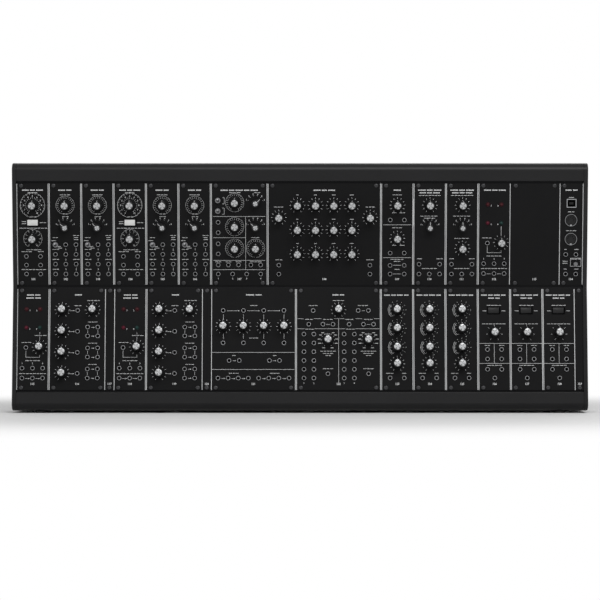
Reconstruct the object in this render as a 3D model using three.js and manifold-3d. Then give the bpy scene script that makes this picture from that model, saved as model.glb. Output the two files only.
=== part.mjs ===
// Modular synthesizer: twenty-nine modules in two tilted rows of a slim metal case with a fold-out stand.
// Millimetres. +X is to the right, -Y faces the player and +Z is up. The feet stand on the plane z = 0.
import * as THREE from "three";
import { mergeVertices } from "three/addons/utils/BufferGeometryUtils.js";
import Module from "manifold-3d";

const wasm = await Module();
wasm.setup();

// Rack grid and front panels
const unitWidth = 5.08;
const rowUnits = 140;
const panelHeight = 128.5;
const panelThickness = 2;
const panelGap = 0.3;
const rowTilt = THREE.MathUtils.degToRad(6.3);

// Case shell
const caseDepth = 90;
const cheekThickness = 5.3;
const cheekEdgeRadius = 1.6;
const wallThickness = 2.5;
const lipHeight = 23.5;
const lipRadius = 6.8;
const lipGap = 2.2;
const seamGap = 3.6;
const panelRecess = 1;
const seatGap = 0.3;
const overrun = 1;
const rootDepth = 0.8;

// Mounting rails with their nut channel
const railWidth = 7.5;
const railDepth = 9;
const mountInset = 3;
const slotWidth = 3.2;
const slotLip = 1.6;
const nutWidth = 5.4;
const nutDepth = 3;

// Rear cover, its vents and its stand lugs
const coverThickness = 2;
const coverRecess = 9;
const coverFlange = 9;
const ventWidth = 4;
const ventHeight = 34;
const ventPitch = 11;
const ventsPerGroup = 7;
const ventGroupPitch = 360;
const ventRise = 96;
const lugThickness = 3;
const lugWidth = 10;

// Fold-out stand
const standSpan = 420;
const standDrop = 150;
const standPivotRise = 176;
const standBarWidth = 16;
const standThickness = 4;
const standCornerRadius = 12;
const standHead = 3.2;
const standPinRadius = 1.9;
const standOffset = 4.3;

// Rubber feet
const footHeight = 3;
const footWidth = 14;
const footLength = 76;
const footInset = 30;

// Power entry plate with its socket and switch housing
const entryWidth = 52;
const entryHeight = 24;
const entryThickness = 1.6;
const entryBodyDepth = 13;
const entryMargin = 4;
const entryInset = 60;
const entryRise = 34;
const inletOffset = -14;
const inletRadius = 3.1;
const inletDepth = 9;
const inletPinRadius = 1;
const inletPinSink = 1.5;
const entrySwitchOffset = 11;

// Distribution board behind the modules
const busEndInset = 35.3;
const busHeight = 62;
const boardThickness = 1.6;
const busStandoff = 6;
const busStandoffRadius = 3;
const headerLength = 20;
const headerWidth = 8.5;
const headerDepth = 8;
const busHeaders = 10;
const converterLength = 58;
const converterWidth = 44;
const converterDepth = 16;

// Boards and bodies behind a front panel
const boardDepth = 10.5;
const boardInset = 11;
const boardMargin = 1.2;

// Sockets for patch leads
const socketRadius = 1.75;
const socketDepth = 8;
const socketSeat = 4;
const socketSides = 5;

// Round knobs
const knobRadius = 7.2;
const knobSkirtHeight = 2.6;
const knobWaistRadius = 5.9;
const knobCrownRadius = 5.2;
const knobHeight = 14;
const knobSeat = 0.4;
const knobSides = 10;
const fixedKnobSides = 8;
const bushRadius = 3.5;
const bushHeight = 5;
const pointerWidth = 1;
const pointerProud = 0.3;
const pointerDrop = 0.7;
const turningGap = 0.35;

// Selectors with a beak
const selectorRadius = 4.6;
const selectorHeight = 11.5;
const selectorTipRadius = 9;
const selectorTipWidth = 1.6;
const selectorRest = THREE.MathUtils.degToRad(45);

// Bat toggles
const toggleBushRadius = 3;
const toggleBushHeight = 4.2;
const toggleMouth = 1.9;
const togglePivot = 2.2;
const toggleBallRadius = 1.5;
const toggleNeckRadius = 0.9;
const toggleTipRadius = 1.5;
const toggleLength = 9;
const toggleLean = THREE.MathUtils.degToRad(12);

// Rocker switches
const rockerLength = 14.2;
const rockerWidth = 7.6;
const rockerRise = 2.9;
const rockerDip = 0.9;
const rockerSink = 1.6;
const rockerTaper = 0.8;
const rockerPivot = 1;
const rockerLean = THREE.MathUtils.degToRad(7);
const rockerPocket = 3.6;
const bezelRim = 0.6;
const bezelHeight = 0.5;

// Push button
const buttonRadius = 2.6;
const buttonHeight = 2.4;
const buttonTravel = 1.2;
const buttonSink = 1.4;
const buttonBodySide = 8;
const buttonPocket = buttonSink + buttonTravel + turningGap;

// Lamps and data connectors
const lampRadius = 2;
const lampHeight = 2.2;
const usbWidth = 12;
const usbHeight = 10.8;
const usbWall = 1.2;
const usbProud = 0.8;
const usbDepth = 9;
const usbTongueWidth = 4.6;
const usbTongueHeight = 2;
const usbTongueLength = 3.6;
const dinRadius = 8;
const dinWall = 1.1;
const dinProud = 0.9;
const dinRecess = 1.2;
const dinBodySide = 15;
const dinSides = 12;

const smallSides = 8;
const roundSteps = 4;
const edgeSteps = 2;

// Sizes that follow from those above
const rowLength = rowUnits * unitWidth;
const innerLength = rowLength - 2 * seatGap;
const busLength = innerLength - 2 * busEndInset;
const rowRise = panelHeight * Math.cos(rowTilt);
const rowSetback = panelHeight * Math.sin(rowTilt);
const caseHeight = 2 * (lipHeight + lipGap + rowRise) + seamGap;
const caseBottom = footHeight;
const caseTop = caseBottom + caseHeight;
const caseMiddle = caseBottom + caseHeight / 2;
const front = -caseDepth / 2;
const rear = caseDepth / 2;
const coverBack = rear - coverRecess;
const coverFront = coverBack - coverThickness;
const standPivotY = coverBack + standOffset;
const entryX = rowLength / 2 - entryInset;

// Each half of the front leans with its row. This is how far it stands back at a depth from the top or bottom.
const faceSetback = (depth) =>
  lipRadius + (depth - lipRadius) * Math.tan(rowTilt) - lipRadius / Math.cos(rowTilt);
const rowRecess = faceSetback(lipHeight + lipGap) + panelRecess;

// Places on a front panel, as shares across and down it. A selector adds its turn as a share of its rest
// angle. Sockets stand in fields, at each crossing of their shares down and across.
const ladderShares = [0.451, 0.538, 0.624, 0.71, 0.796, 0.882];
const bankColumnShares = [0.262, 0.422, 0.583, 0.743];
const bankRowShares = [0.214, 0.452, 0.689];
const kinds = {
  oscillatorDriver: {
    widthUnits: 8,
    knobShares: [[0.497, 0.213], [0.497, 0.54]],
    rockerShares: [[0.509, 0.383]],
    socketShares: [{ downs: [0.714, 0.799, 0.887], acrosses: [0.291, 0.731] }],
  },
  oscillator: {
    widthUnits: 8,
    knobShares: [[0.502, 0.214]],
    selectorShares: [[0.5, 0.432, 1]],
    toggleShares: [[0.191, 0.6]],
    socketShares: [
      { downs: [0.599], acrosses: [0.51, 0.831] },
      { downs: [0.694, 0.79, 0.887], acrosses: [0.19, 0.51, 0.831] },
    ],
  },
  voltageOscillator: {
    widthUnits: 14,
    knobShares: [[0.418, 0.188], [0.418, 0.423], [0.418, 0.635], [0.788, 0.635]],
    selectorShares: [[0.786, 0.195, -1], [0.786, 0.431, 1]],
    toggleShares: [[0.12, 0.167], [0.12, 0.27]],
    socketShares: [
      { downs: [0.38, 0.481, 0.591, 0.69], acrosses: [0.125] },
      { downs: [0.798], acrosses: [0.126, 0.306, 0.486, 0.703, 0.878] },
      { downs: [0.887], acrosses: [0.126, 0.381, 0.63, 0.878] },
    ],
  },
  filterBank: {
    widthUnits: 28,
    knobShares: [
      [0.098, 0.333],
      ...bankRowShares.flatMap((down) => bankColumnShares.map((across) => [across, down])),
      [0.905, 0.333],
    ],
    socketShares: [
      { downs: [0.8, 0.888], acrosses: [0.098] },
      { downs: [0.8, 0.888], acrosses: [0.904] },
    ],
  },
  noiseFilters: {
    widthUnits: 8,
    knobShares: [[0.506, 0.213], [0.506, 0.538]],
    socketShares: [
      { downs: [0.357], acrosses: [0.284, 0.723] },
      { downs: [0.681, 0.802, 0.887], acrosses: [0.284, 0.723] },
    ],
  },
  highPass: {
    widthUnits: 8,
    knobShares: [[0.51, 0.213]],
    selectorShares: [[0.511, 0.434, 0]],
    socketShares: [
      { downs: [0.791], acrosses: [0.177, 0.82] },
      { downs: [0.887], acrosses: [0.177, 0.499, 0.82] },
    ],
  },
  lowPass: {
    widthUnits: 8,
    knobShares: [[0.515, 0.213], [0.515, 0.636]],
    selectorShares: [[0.516, 0.434, 0]],
    socketShares: [
      { downs: [0.791], acrosses: [0.181, 0.819] },
      { downs: [0.887], acrosses: [0.181, 0.501, 0.819] },
    ],
  },
  controlVoltages: {
    widthUnits: 8,
    knobShares: [[0.712, 0.578]],
    lampShares: [[0.295, 0.206], [0.715, 0.206], [0.295, 0.387], [0.715, 0.387]],
    socketShares: [
      { downs: [0.583], acrosses: [0.286] },
      { downs: [0.785, 0.882], acrosses: [0.174, 0.5, 0.815] },
    ],
  },
  midi: {
    widthUnits: 6,
    usbShares: [[0.502, 0.194]],
    dinShares: [[0.489, 0.36], [0.489, 0.545]],
    buttonShares: [[0.7, 0.79]],
    socketShares: [
      { downs: [0.695], acrosses: [0.28, 0.704] },
      { downs: [0.887], acrosses: [0.28, 0.704] },
    ],
  },
  mixer: {
    widthUnits: 14,
    knobShares: [[0.768, 0.212], [0.229, 0.212], [0.229, 0.42], [0.229, 0.627], [0.229, 0.834]],
    socketShares: [
      { downs: [0.219], acrosses: [0.502] },
      { downs: [0.424], acrosses: [0.502] },
      { downs: [0.631], acrosses: [0.502] },
      { downs: [0.837], acrosses: [0.502] },
      { downs: [0.382, 0.469], acrosses: [0.681, 0.86] },
      { downs: [0.587, 0.676], acrosses: [0.681, 0.86] },
      { downs: [0.793, 0.882], acrosses: [0.681, 0.86] },
    ],
  },
  attenuators: {
    widthUnits: 21,
    knobShares: [[0.142, 0.375], [0.382, 0.375], [0.621, 0.375], [0.86, 0.375]],
    socketShares: [
      { downs: [0.219], acrosses: [0.142, 0.382, 0.621, 0.86] },
      { downs: [0.537], acrosses: [0.142, 0.382, 0.621, 0.86] },
      { downs: [0.71], acrosses: [0.214, 0.333] },
      { downs: [0.71], acrosses: [0.689, 0.808] },
      { downs: [0.882], acrosses: [0.083, 0.203, 0.323, 0.441] },
      { downs: [0.882], acrosses: [0.562, 0.681, 0.8, 0.92] },
    ],
  },
  patchInterface: {
    widthUnits: 21,
    knobShares: [[0.501, 0.212], [0.376, 0.508], [0.853, 0.508]],
    socketShares: [
      { downs: [0.219], acrosses: [0.202] },
      { downs: [0.219], acrosses: [0.734, 0.854] },
      { downs: [0.354], acrosses: [0.15] },
      { downs: [0.354], acrosses: [0.317, 0.436] },
      { downs: [0.354], acrosses: [0.626] },
      { downs: [0.354], acrosses: [0.795, 0.914] },
      { downs: ladderShares, acrosses: [0.093, 0.21] },
      { downs: ladderShares, acrosses: [0.567, 0.687] },
      { downs: [0.839], acrosses: [0.375] },
      { downs: [0.839], acrosses: [0.855] },
    ],
  },
  envelope: {
    widthUnits: 8,
    knobShares: [[0.499, 0.213], [0.499, 0.396], [0.499, 0.58], [0.499, 0.742]],
    socketShares: [{ downs: [0.881], acrosses: [0.277, 0.715] }],
  },
  amplifier: {
    widthUnits: 8,
    knobShares: [[0.504, 0.438]],
    rockerShares: [[0.49, 0.219]],
    darkRocker: true,
    socketShares: [
      { downs: [0.602, 0.695], acrosses: [0.285, 0.725] },
      { downs: [0.796], acrosses: [0.285, 0.725] },
      { downs: [0.881], acrosses: [0.507] },
    ],
  },
  wideBlank: { widthUnits: 12 },
  narrowBlank: { widthUnits: 2 },
};

// The modules from left to right. The controls named in moving are pieces of their own.
const topRow = [
  {
    name: "oscillator_driver_1",
    kind: kinds.oscillatorDriver,
    moving: { knob: "driver_1_tuning_knob", rocker: "driver_1_standby_rocker" },
  },
  {
    name: "oscillator_1",
    kind: kinds.oscillator,
    moving: {
      knob: "oscillator_1_tuning_knob",
      selector: "oscillator_1_range_selector",
      toggle: "oscillator_1_sync_toggle",
    },
  },
  { name: "oscillator_2", kind: kinds.oscillator },
  { name: "oscillator_driver_2", kind: kinds.oscillatorDriver },
  { name: "oscillator_3", kind: kinds.oscillator },
  { name: "oscillator_4", kind: kinds.oscillator },
  {
    name: "voltage_oscillator",
    kind: kinds.voltageOscillator,
    moving: { knob: "voltage_oscillator_tuning_knob" },
  },
  { name: "filter_bank", kind: kinds.filterBank, moving: { knob: "filter_bank_low_band_knob" } },
  { name: "noise_filters", kind: kinds.noiseFilters, moving: { knob: "noise_low_pass_knob" } },
  { name: "high_pass_filter", kind: kinds.highPass, moving: { knob: "high_pass_cutoff_knob" } },
  { name: "low_pass_filter", kind: kinds.lowPass, moving: { knob: "low_pass_cutoff_knob" } },
  {
    name: "control_voltages",
    kind: kinds.controlVoltages,
    moving: { knob: "control_voltages_level_knob" },
  },
  { name: "wide_blank_panel", kind: kinds.wideBlank },
  { name: "midi_interface", kind: kinds.midi, moving: { button: "midi_learn_button" } },
];
const bottomRow = [
  {
    name: "voltage_controller_1",
    kind: kinds.controlVoltages,
    moving: { knob: "voltage_controller_1_level_knob" },
  },
  { name: "mixer_1", kind: kinds.mixer, moving: { knob: "mixer_1_master_knob" } },
  { name: "narrow_blank_panel_1", kind: kinds.narrowBlank },
  { name: "voltage_controller_2", kind: kinds.controlVoltages },
  { name: "mixer_2", kind: kinds.mixer },
  { name: "narrow_blank_panel_2", kind: kinds.narrowBlank },
  { name: "attenuators", kind: kinds.attenuators, moving: { knob: "attenuator_1_knob" } },
  {
    name: "patch_interface",
    kind: kinds.patchInterface,
    moving: { knob: "patch_interface_level_knob" },
  },
  {
    name: "envelope_generator_1",
    kind: kinds.envelope,
    moving: { knob: "envelope_1_attack_knob" },
  },
  { name: "envelope_generator_2", kind: kinds.envelope },
  { name: "envelope_generator_3", kind: kinds.envelope },
  {
    name: "amplifier_1",
    kind: kinds.amplifier,
    moving: { knob: "amplifier_1_gain_knob", rocker: "amplifier_1_mode_rocker" },
  },
  { name: "amplifier_2", kind: kinds.amplifier },
  { name: "amplifier_3", kind: kinds.amplifier },
  { name: "narrow_blank_panel_3", kind: kinds.narrowBlank },
];

const paint = (color, roughness, metalness) =>
  new THREE.MeshStandardMaterial({ color, roughness, metalness });
const materials = {
  shell: paint(0x242425, 0.42, 0.1),
  panel: paint(0x1c1c1d, 0.5, 0.1),
  rail: paint(0x2b2b2d, 0.4, 0.7),
  board: paint(0x16352a, 0.6, 0),
  knob: paint(0x111112, 0.45, 0),
  whiteRocker: paint(0xe6e6e4, 0.4, 0),
  darkRocker: paint(0x232324, 0.4, 0),
  chrome: paint(0xc8c9cc, 0.25, 1),
  rubber: paint(0x0d0d0d, 0.85, 0),
};

// Circumradius of a polygon whose flats lie at the given radius
const circumscribed = (radius, sides) => radius / Math.cos(Math.PI / sides);

function solidOf(geometry) {
  const bare = geometry.index ? geometry.toNonIndexed() : geometry.clone();
  bare.deleteAttribute("normal");
  bare.deleteAttribute("uv");
  const merged = mergeVertices(bare);
  const index = merged.index.array;
  const corners = [];
  for (let i = 0; i < index.length; i += 3) {
    const [a, b, c] = [index[i], index[i + 1], index[i + 2]];
    if (a !== b && b !== c && c !== a) corners.push(a, b, c);
  }
  return new wasm.Manifold(
    new wasm.Mesh({
      numProp: 3,
      vertProperties: merged.attributes.position.array,
      triVerts: new Uint32Array(corners),
    }),
  );
}

function meshOf(name, solid, material) {
  const { vertProperties, triVerts } = solid.getMesh();
  const geometry = new THREE.BufferGeometry();
  geometry.setAttribute("position", new THREE.BufferAttribute(vertProperties, 3));
  geometry.setIndex(new THREE.BufferAttribute(triVerts, 1));
  geometry.computeVertexNormals();
  const mesh = new THREE.Mesh(geometry, material);
  mesh.name = name;
  return mesh;
}

function placedMesh(name, solid, material, [x, y], z) {
  const mesh = meshOf(name, solid, material);
  mesh.position.set(x, y, z);
  return mesh;
}

const joined = (solids) => solids.reduce((whole, solid) => whole.add(solid));

function block([x0, x1], [y0, y1], [z0, z1]) {
  const geometry = new THREE.BoxGeometry(x1 - x0, y1 - y0, z1 - z0);
  return solidOf(geometry.translate((x0 + x1) / 2, (y0 + y1) / 2, (z0 + z1) / 2));
}

// A block around a centre, given by its full width and height
const pad = ([x, y], width, height, depths) =>
  block([x - width / 2, x + width / 2], [y - height / 2, y + height / 2], depths);

// A round bar along Z
function post([x, y], radius, [z0, z1], sides) {
  const geometry = new THREE.CylinderGeometry(radius, radius, z1 - z0, sides);
  geometry.rotateX(Math.PI / 2);
  return solidOf(geometry.translate(x, y, (z0 + z1) / 2));
}

// A piece turned about Z, from pairs of radius and height
function turned(pairs, sides) {
  const profile = pairs.map(([radius, height]) => new THREE.Vector2(radius, height));
  return new THREE.LatheGeometry(profile, sides).rotateX(Math.PI / 2);
}

const outline = (points) => new THREE.Shape(points.map(([a, b]) => new THREE.Vector2(a, b)));

function extruded(shape, depth) {
  const settings = { depth, bevelEnabled: false, curveSegments: roundSteps };
  return new THREE.ExtrudeGeometry(shape, settings);
}

// Turns a section drawn in (y, z) so that its depth runs along X
const sectionTurn = new THREE.Matrix4().makeBasis(
  new THREE.Vector3(0, 1, 0),
  new THREE.Vector3(0, 0, 1),
  new THREE.Vector3(1, 0, 0),
);

function alongX(section, length, middle) {
  const geometry = extruded(section, length).applyMatrix4(sectionTurn);
  return geometry.translate(middle - length / 2, 0, 0);
}

// A row's frame: X along the row, Y up the panels and Z out of their faces
function rowFrame(isTop) {
  const frame = new THREE.Group();
  frame.position.set(
    -rowLength / 2,
    front + rowRecess + (isTop ? rowSetback : 0),
    caseBottom + lipHeight + lipGap + (isTop ? rowRise + seamGap : 0),
  );
  frame.rotation.x = Math.PI / 2 + (isTop ? rowTilt : -rowTilt);
  frame.updateMatrix();
  return frame;
}
const topFrame = rowFrame(true);
const bottomFrame = rowFrame(false);

// A rail with its nut channel, behind the panel edge at the height edge. Inward is the sense from that
// edge towards the panel, and reach is how far the rail runs on past the edge.
function rail(frame, edge, inward, reach) {
  const at = (along, depth) => [edge + inward * along, -(panelThickness + seatGap + depth)];
  const nutSide = nutWidth / 2;
  const slotSide = slotWidth / 2;
  const section = outline([
    at(-reach, 0),
    at(mountInset - slotSide, 0),
    at(mountInset - slotSide, slotLip),
    at(mountInset - nutSide, slotLip),
    at(mountInset - nutSide, slotLip + nutDepth),
    at(mountInset + nutSide, slotLip + nutDepth),
    at(mountInset + nutSide, slotLip),
    at(mountInset + slotSide, slotLip),
    at(mountInset + slotSide, 0),
    at(railWidth, 0),
    at(railWidth, railDepth),
    at(-reach, railDepth),
  ]);
  const length = innerLength - 2 * seatGap;
  return solidOf(alongX(section, length, rowLength / 2).applyMatrix4(frame.matrix));
}

// One long wall with its rounded lip, the flange for the rear cover and the rail behind the panels
function caseProfile(name, outerFace, inward, frame, edge) {
  const section = new THREE.Shape();
  const at = (back, depth) => [front + back, outerFace + inward * depth];
  const lipDepth = rowRecess + panelThickness + seatGap + railDepth / 2;
  const flangeBack = coverFront - seatGap - front;
  const flangeFront = flangeBack - wallThickness;
  const flangeEdge = wallThickness + coverFlange;
  const startAngle = (-inward * Math.PI) / 2;
  const endAngle = 2 * startAngle - inward * rowTilt;
  section.moveTo(...at(caseDepth, 0));
  section.lineTo(...at(lipRadius, 0));
  section.absarc(...at(lipRadius, lipRadius), lipRadius, startAngle, endAngle, inward > 0);
  section.lineTo(...at(faceSetback(lipHeight), lipHeight));
  section.lineTo(...at(lipDepth, lipHeight));
  section.lineTo(...at(lipDepth, lipHeight - wallThickness));
  section.lineTo(...at(wallThickness, lipHeight - wallThickness));
  section.lineTo(...at(wallThickness, lipRadius));
  section.lineTo(...at(lipRadius, wallThickness));
  section.lineTo(...at(flangeFront, wallThickness));
  section.lineTo(...at(flangeFront, flangeEdge));
  section.lineTo(...at(flangeBack, flangeEdge));
  section.lineTo(...at(flangeBack, wallThickness));
  section.lineTo(...at(caseDepth, wallThickness));
  const wall = solidOf(alongX(section, innerLength, 0));
  const bar = rail(frame, edge, inward, lipGap + wallThickness / 4);
  return meshOf(name, wall.add(bar), materials.shell);
}

// The two rails at the seam are one bar, bent to the angle between the rows
function centreRail() {
  const upper = rail(topFrame, 0, 1, seamGap);
  const lower = rail(bottomFrame, panelHeight, -1, seamGap);
  return meshOf("centre_rail", upper.add(lower), materials.rail);
}

// An end plate whose front edge follows the lips and the lean of the rows, with its outer edges rounded
function cheek(name, isRight) {
  const shape = new THREE.Shape();
  const lipY = front + lipRadius;
  const quarter = Math.PI / 2;
  shape.moveTo(rear, caseBottom);
  shape.lineTo(rear, caseTop);
  shape.absarc(lipY, caseTop - lipRadius, lipRadius, quarter, 2 * quarter + rowTilt, false);
  shape.lineTo(front + faceSetback(caseHeight / 2), caseMiddle);
  shape.absarc(lipY, caseBottom + lipRadius, lipRadius, 2 * quarter - rowTilt, 3 * quarter, false);
  const geometry = new THREE.ExtrudeGeometry(shape, {
    depth: cheekThickness - cheekEdgeRadius + overrun,
    bevelThickness: cheekEdgeRadius,
    bevelSize: cheekEdgeRadius,
    bevelOffset: -cheekEdgeRadius,
    bevelSegments: edgeSteps,
    curveSegments: roundSteps,
  });
  const innerSide = block(
    [-cheekEdgeRadius - 2 * overrun, 0],
    [front - overrun, rear + overrun],
    [caseBottom - overrun, caseTop + overrun],
  );
  geometry.translate(0, 0, -overrun).applyMatrix4(sectionTurn);
  const plate = solidOf(geometry).subtract(innerSide);
  const mesh = meshOf(name, plate, materials.shell);
  mesh.position.x = (isRight ? rowLength : -rowLength) / 2;
  if (!isRight) {
    mesh.rotation.y = Math.PI;
    mesh.position.z = 2 * caseMiddle;
  }
  return mesh;
}

function foot(name, side) {
  const end = (footLength - footWidth) / 2;
  const shape = new THREE.Shape();
  shape.absarc(0, end, footWidth / 2, 0, Math.PI, false);
  shape.absarc(0, -end, footWidth / 2, Math.PI, 2 * Math.PI, false);
  const solid = solidOf(extruded(shape, footHeight));
  return placedMesh(name, solid, materials.rubber, [side * (rowLength / 2 - footInset), 0], 0);
}

// A lug on the rear cover, bored for a pin of the stand
function lug(side) {
  const half = lugWidth / 2;
  const root = coverBack - coverThickness / 2;
  const shape = new THREE.Shape();
  shape.moveTo(root, standPivotRise - half);
  shape.lineTo(standPivotY, standPivotRise - half);
  shape.absarc(standPivotY, standPivotRise, half, -Math.PI / 2, Math.PI / 2, false);
  shape.lineTo(root, standPivotRise + half);
  const bore = circumscribed(standPinRadius + turningGap, smallSides);
  const hole = new THREE.Path();
  hole.absarc(standPivotY, standPivotRise, bore, 0, 2 * Math.PI, false);
  shape.holes.push(hole);
  const middle = standSpan / 2 + seatGap + lugThickness / 2;
  return solidOf(alongX(shape, lugThickness, side * middle));
}

function rearCover() {
  const edge = wallThickness + seatGap;
  const length = [-innerLength / 2, innerLength / 2];
  const sheet = block(length, [coverFront, coverBack], [caseBottom + edge, caseTop - edge]);
  const through = [coverFront - overrun, coverBack + overrun];
  const ventMiddle = caseMiddle + ventRise;
  const ventHeights = [ventMiddle - ventHeight / 2, ventMiddle + ventHeight / 2];
  const cuts = [];
  for (const side of [-1, 1]) {
    for (let i = 0; i < ventsPerGroup; i++) {
      const x = (side * ventGroupPitch) / 2 + (i - (ventsPerGroup - 1) / 2) * ventPitch;
      cuts.push(block([x - ventWidth / 2, x + ventWidth / 2], through, ventHeights));
    }
  }
  const halfWidth = entryWidth / 2 - entryMargin + seatGap;
  const halfHeight = entryHeight / 2 - entryMargin + seatGap;
  const entryHeights = [entryRise - halfHeight, entryRise + halfHeight];
  cuts.push(block([entryX - halfWidth, entryX + halfWidth], through, entryHeights));
  const solid = joined([sheet, lug(-1), lug(1)]).subtract(joined(cuts));
  return meshOf("rear_cover", solid, materials.shell);
}

// A frame at the back of the case: X along the case, Y down and Z out of its back
function rearFrame(x, y, z, meshes) {
  const frame = new THREE.Group();
  frame.position.set(x, y, z);
  frame.rotation.x = -Math.PI / 2;
  frame.add(...meshes);
  return frame;
}

// The distribution board stands off the rear cover, with a header for each lead and a converter block
function busBoard() {
  const face = -busStandoff - boardThickness;
  const root = face + boardThickness / 2;
  const half = busLength / 2;
  const inset = busStandoffRadius + overrun;
  const parts = [pad([0, 0], busLength, busHeight, [face, -busStandoff])];
  for (const x of [inset - half, 0, half - inset]) {
    for (const y of [inset - busHeight / 2, busHeight / 2 - inset]) {
      parts.push(post([x, y], busStandoffRadius, [root, 0], smallSides));
    }
  }
  const pitch = busLength / (busHeaders + 1);
  for (let i = 1; i <= busHeaders; i++) {
    for (const y of [-busHeight / 4, busHeight / 4]) {
      parts.push(pad([i * pitch - half, y], headerLength, headerWidth, [face - headerDepth, root]));
    }
  }
  const converter = [half - converterLength / 2, 0];
  parts.push(pad(converter, converterLength, converterWidth, [face - converterDepth, root]));
  const mesh = meshOf("bus_board", joined(parts), materials.board);
  return rearFrame(0, coverFront - seatGap, caseMiddle, [mesh]);
}

// A rocker's paddle about its pivot, pressed down on one side. Its pocket clears the ends as they swing.
const rockerReach =
  (rockerLength / 2) * Math.cos(rockerLean) + (rockerRise + rockerPivot) * Math.sin(rockerLean);
const pocketLength = 2 * (rockerReach + turningGap);
const pocketWidth = rockerWidth + 2 * turningGap;

function rockerPaddle() {
  const half = rockerLength / 2;
  const top = rockerRise + rockerPivot;
  const shape = outline([
    [-half, top],
    [rockerTaper - half, rockerPivot - rockerSink],
    [half - rockerTaper, rockerPivot - rockerSink],
    [half, top],
    [0, top - rockerDip],
  ]);
  const geometry = extruded(shape, rockerWidth).translate(0, 0, -rockerWidth / 2);
  return geometry.rotateX(Math.PI / 2).rotateY(-rockerLean);
}

const rockerBezel = (centre, depth) =>
  pad(centre, pocketLength + 2 * bezelRim, pocketWidth + 2 * bezelRim, [-depth, bezelHeight]);

const rockerRecess = (centre) =>
  pad(centre, pocketLength, pocketWidth, [-rockerPocket, bezelHeight + overrun]);

const rockerMesh = (name, centre, material) =>
  placedMesh(name, solidOf(rockerPaddle()), material, centre, -rockerPivot);

// The plate with the supply socket and the main switch, its body passing through the rear cover
function powerEntry() {
  const inlet = [inletOffset, 0];
  const rocker = [entrySwitchOffset, 0];
  const bodyWidth = entryWidth - 2 * entryMargin;
  const bodyHeight = entryHeight - 2 * entryMargin;
  const bodyBack = -entryThickness - seatGap - coverThickness - entryBodyDepth;
  const solid = pad([0, 0], entryWidth, entryHeight, [-entryThickness, 0])
    .add(pad([0, 0], bodyWidth, bodyHeight, [bodyBack, -rootDepth]))
    .add(rockerBezel(rocker, rootDepth))
    .subtract(post(inlet, circumscribed(inletRadius, smallSides), [-inletDepth, overrun], smallSides))
    .subtract(rockerRecess(rocker))
    .add(post(inlet, inletPinRadius, [-inletDepth - overrun, -inletPinSink], socketSides));
  const meshes = [
    meshOf("power_entry", solid, materials.shell),
    rockerMesh("power_switch", rocker, materials.knob),
  ];
  return rearFrame(entryX, coverBack + seatGap + entryThickness, entryRise, meshes);
}

// A loop of flat bar that turns on a pin at each end and folds flat behind the rear cover
function stand() {
  const outer = standSpan / 2;
  const inner = outer - standBarWidth;
  const arcX = outer - standCornerRadius;
  const arcY = standCornerRadius - standDrop;
  const quarter = Math.PI / 2;
  const shape = new THREE.Shape();
  shape.moveTo(-outer, standHead);
  shape.lineTo(-outer, arcY);
  shape.absarc(-arcX, arcY, standCornerRadius, 2 * quarter, 3 * quarter, false);
  shape.absarc(arcX, arcY, standCornerRadius, 3 * quarter, 4 * quarter, false);
  shape.lineTo(outer, standHead);
  shape.lineTo(inner, standHead);
  shape.lineTo(inner, standBarWidth - standDrop);
  shape.lineTo(-inner, standBarWidth - standDrop);
  shape.lineTo(-inner, standHead);
  const loop = extruded(shape, standThickness).translate(0, 0, -standThickness / 2);
  const parts = [solidOf(loop.rotateX(Math.PI / 2))];
  const pinLength = overrun + seatGap + lugThickness;
  for (const side of [-1, 1]) {
    const pin = new THREE.CylinderGeometry(standPinRadius, standPinRadius, pinLength, smallSides);
    pin.rotateZ(Math.PI / 2).translate(side * (outer - overrun + pinLength / 2), 0, 0);
    parts.push(solidOf(pin));
  }
  return placedMesh("stand_bail", joined(parts), materials.shell, [0, standPivotY], standPivotRise);
}

// A knob about its seat on the panel. Underneath, it is hollow round the bush that it turns on.
function knobSolid() {
  const recess = circumscribed(bushRadius + turningGap, knobSides);
  const recessTop = bushHeight + turningGap;
  const body = turned(
    [
      [0, recessTop],
      [recess, recessTop],
      [recess, knobSeat],
      [knobRadius, knobSeat],
      [knobWaistRadius, knobSkirtHeight],
      [knobCrownRadius, knobHeight],
      [0, knobHeight],
    ],
    knobSides,
  );
  const pointer = block(
    [-pointerWidth / 2, pointerWidth / 2],
    [knobCrownRadius - overrun, knobWaistRadius + pointerProud],
    [knobSkirtHeight - rootDepth, knobHeight - pointerDrop],
  );
  return solidOf(body).add(pointer);
}

const fixedKnobProfile = [
  [0, -rootDepth],
  [knobRadius, -rootDepth],
  [knobRadius, 0],
  [knobWaistRadius, knobSkirtHeight],
  [knobCrownRadius, knobHeight],
  [0, knobHeight],
];

// A selector's round body with its beak, turned to where it points at rest
function selectorParts(base, [x, y, turnShare], sides) {
  const beakSide = selectorRadius - overrun;
  const beak = outline([
    [-beakSide, 0],
    [beakSide, 0],
    [selectorTipWidth / 2, selectorTipRadius],
    [-selectorTipWidth / 2, selectorTipRadius],
  ]);
  const round = turned(
    [
      [0, base],
      [selectorRadius, base],
      [selectorRadius, selectorHeight],
      [0, selectorHeight],
    ],
    sides,
  );
  const point = extruded(beak, selectorHeight - pointerDrop - base).translate(0, 0, base);
  return [round, point].map((part) =>
    solidOf(part.rotateZ(turnShare * selectorRest).translate(x, y, 0)),
  );
}

function selectorSolid(turnShare) {
  const recess = circumscribed(bushRadius + turningGap, knobSides);
  const depths = [knobSeat - overrun, bushHeight + turningGap];
  return joined(selectorParts(knobSeat, [0, 0, turnShare], knobSides)).subtract(
    post([0, 0], recess, depths, knobSides),
  );
}

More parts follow.
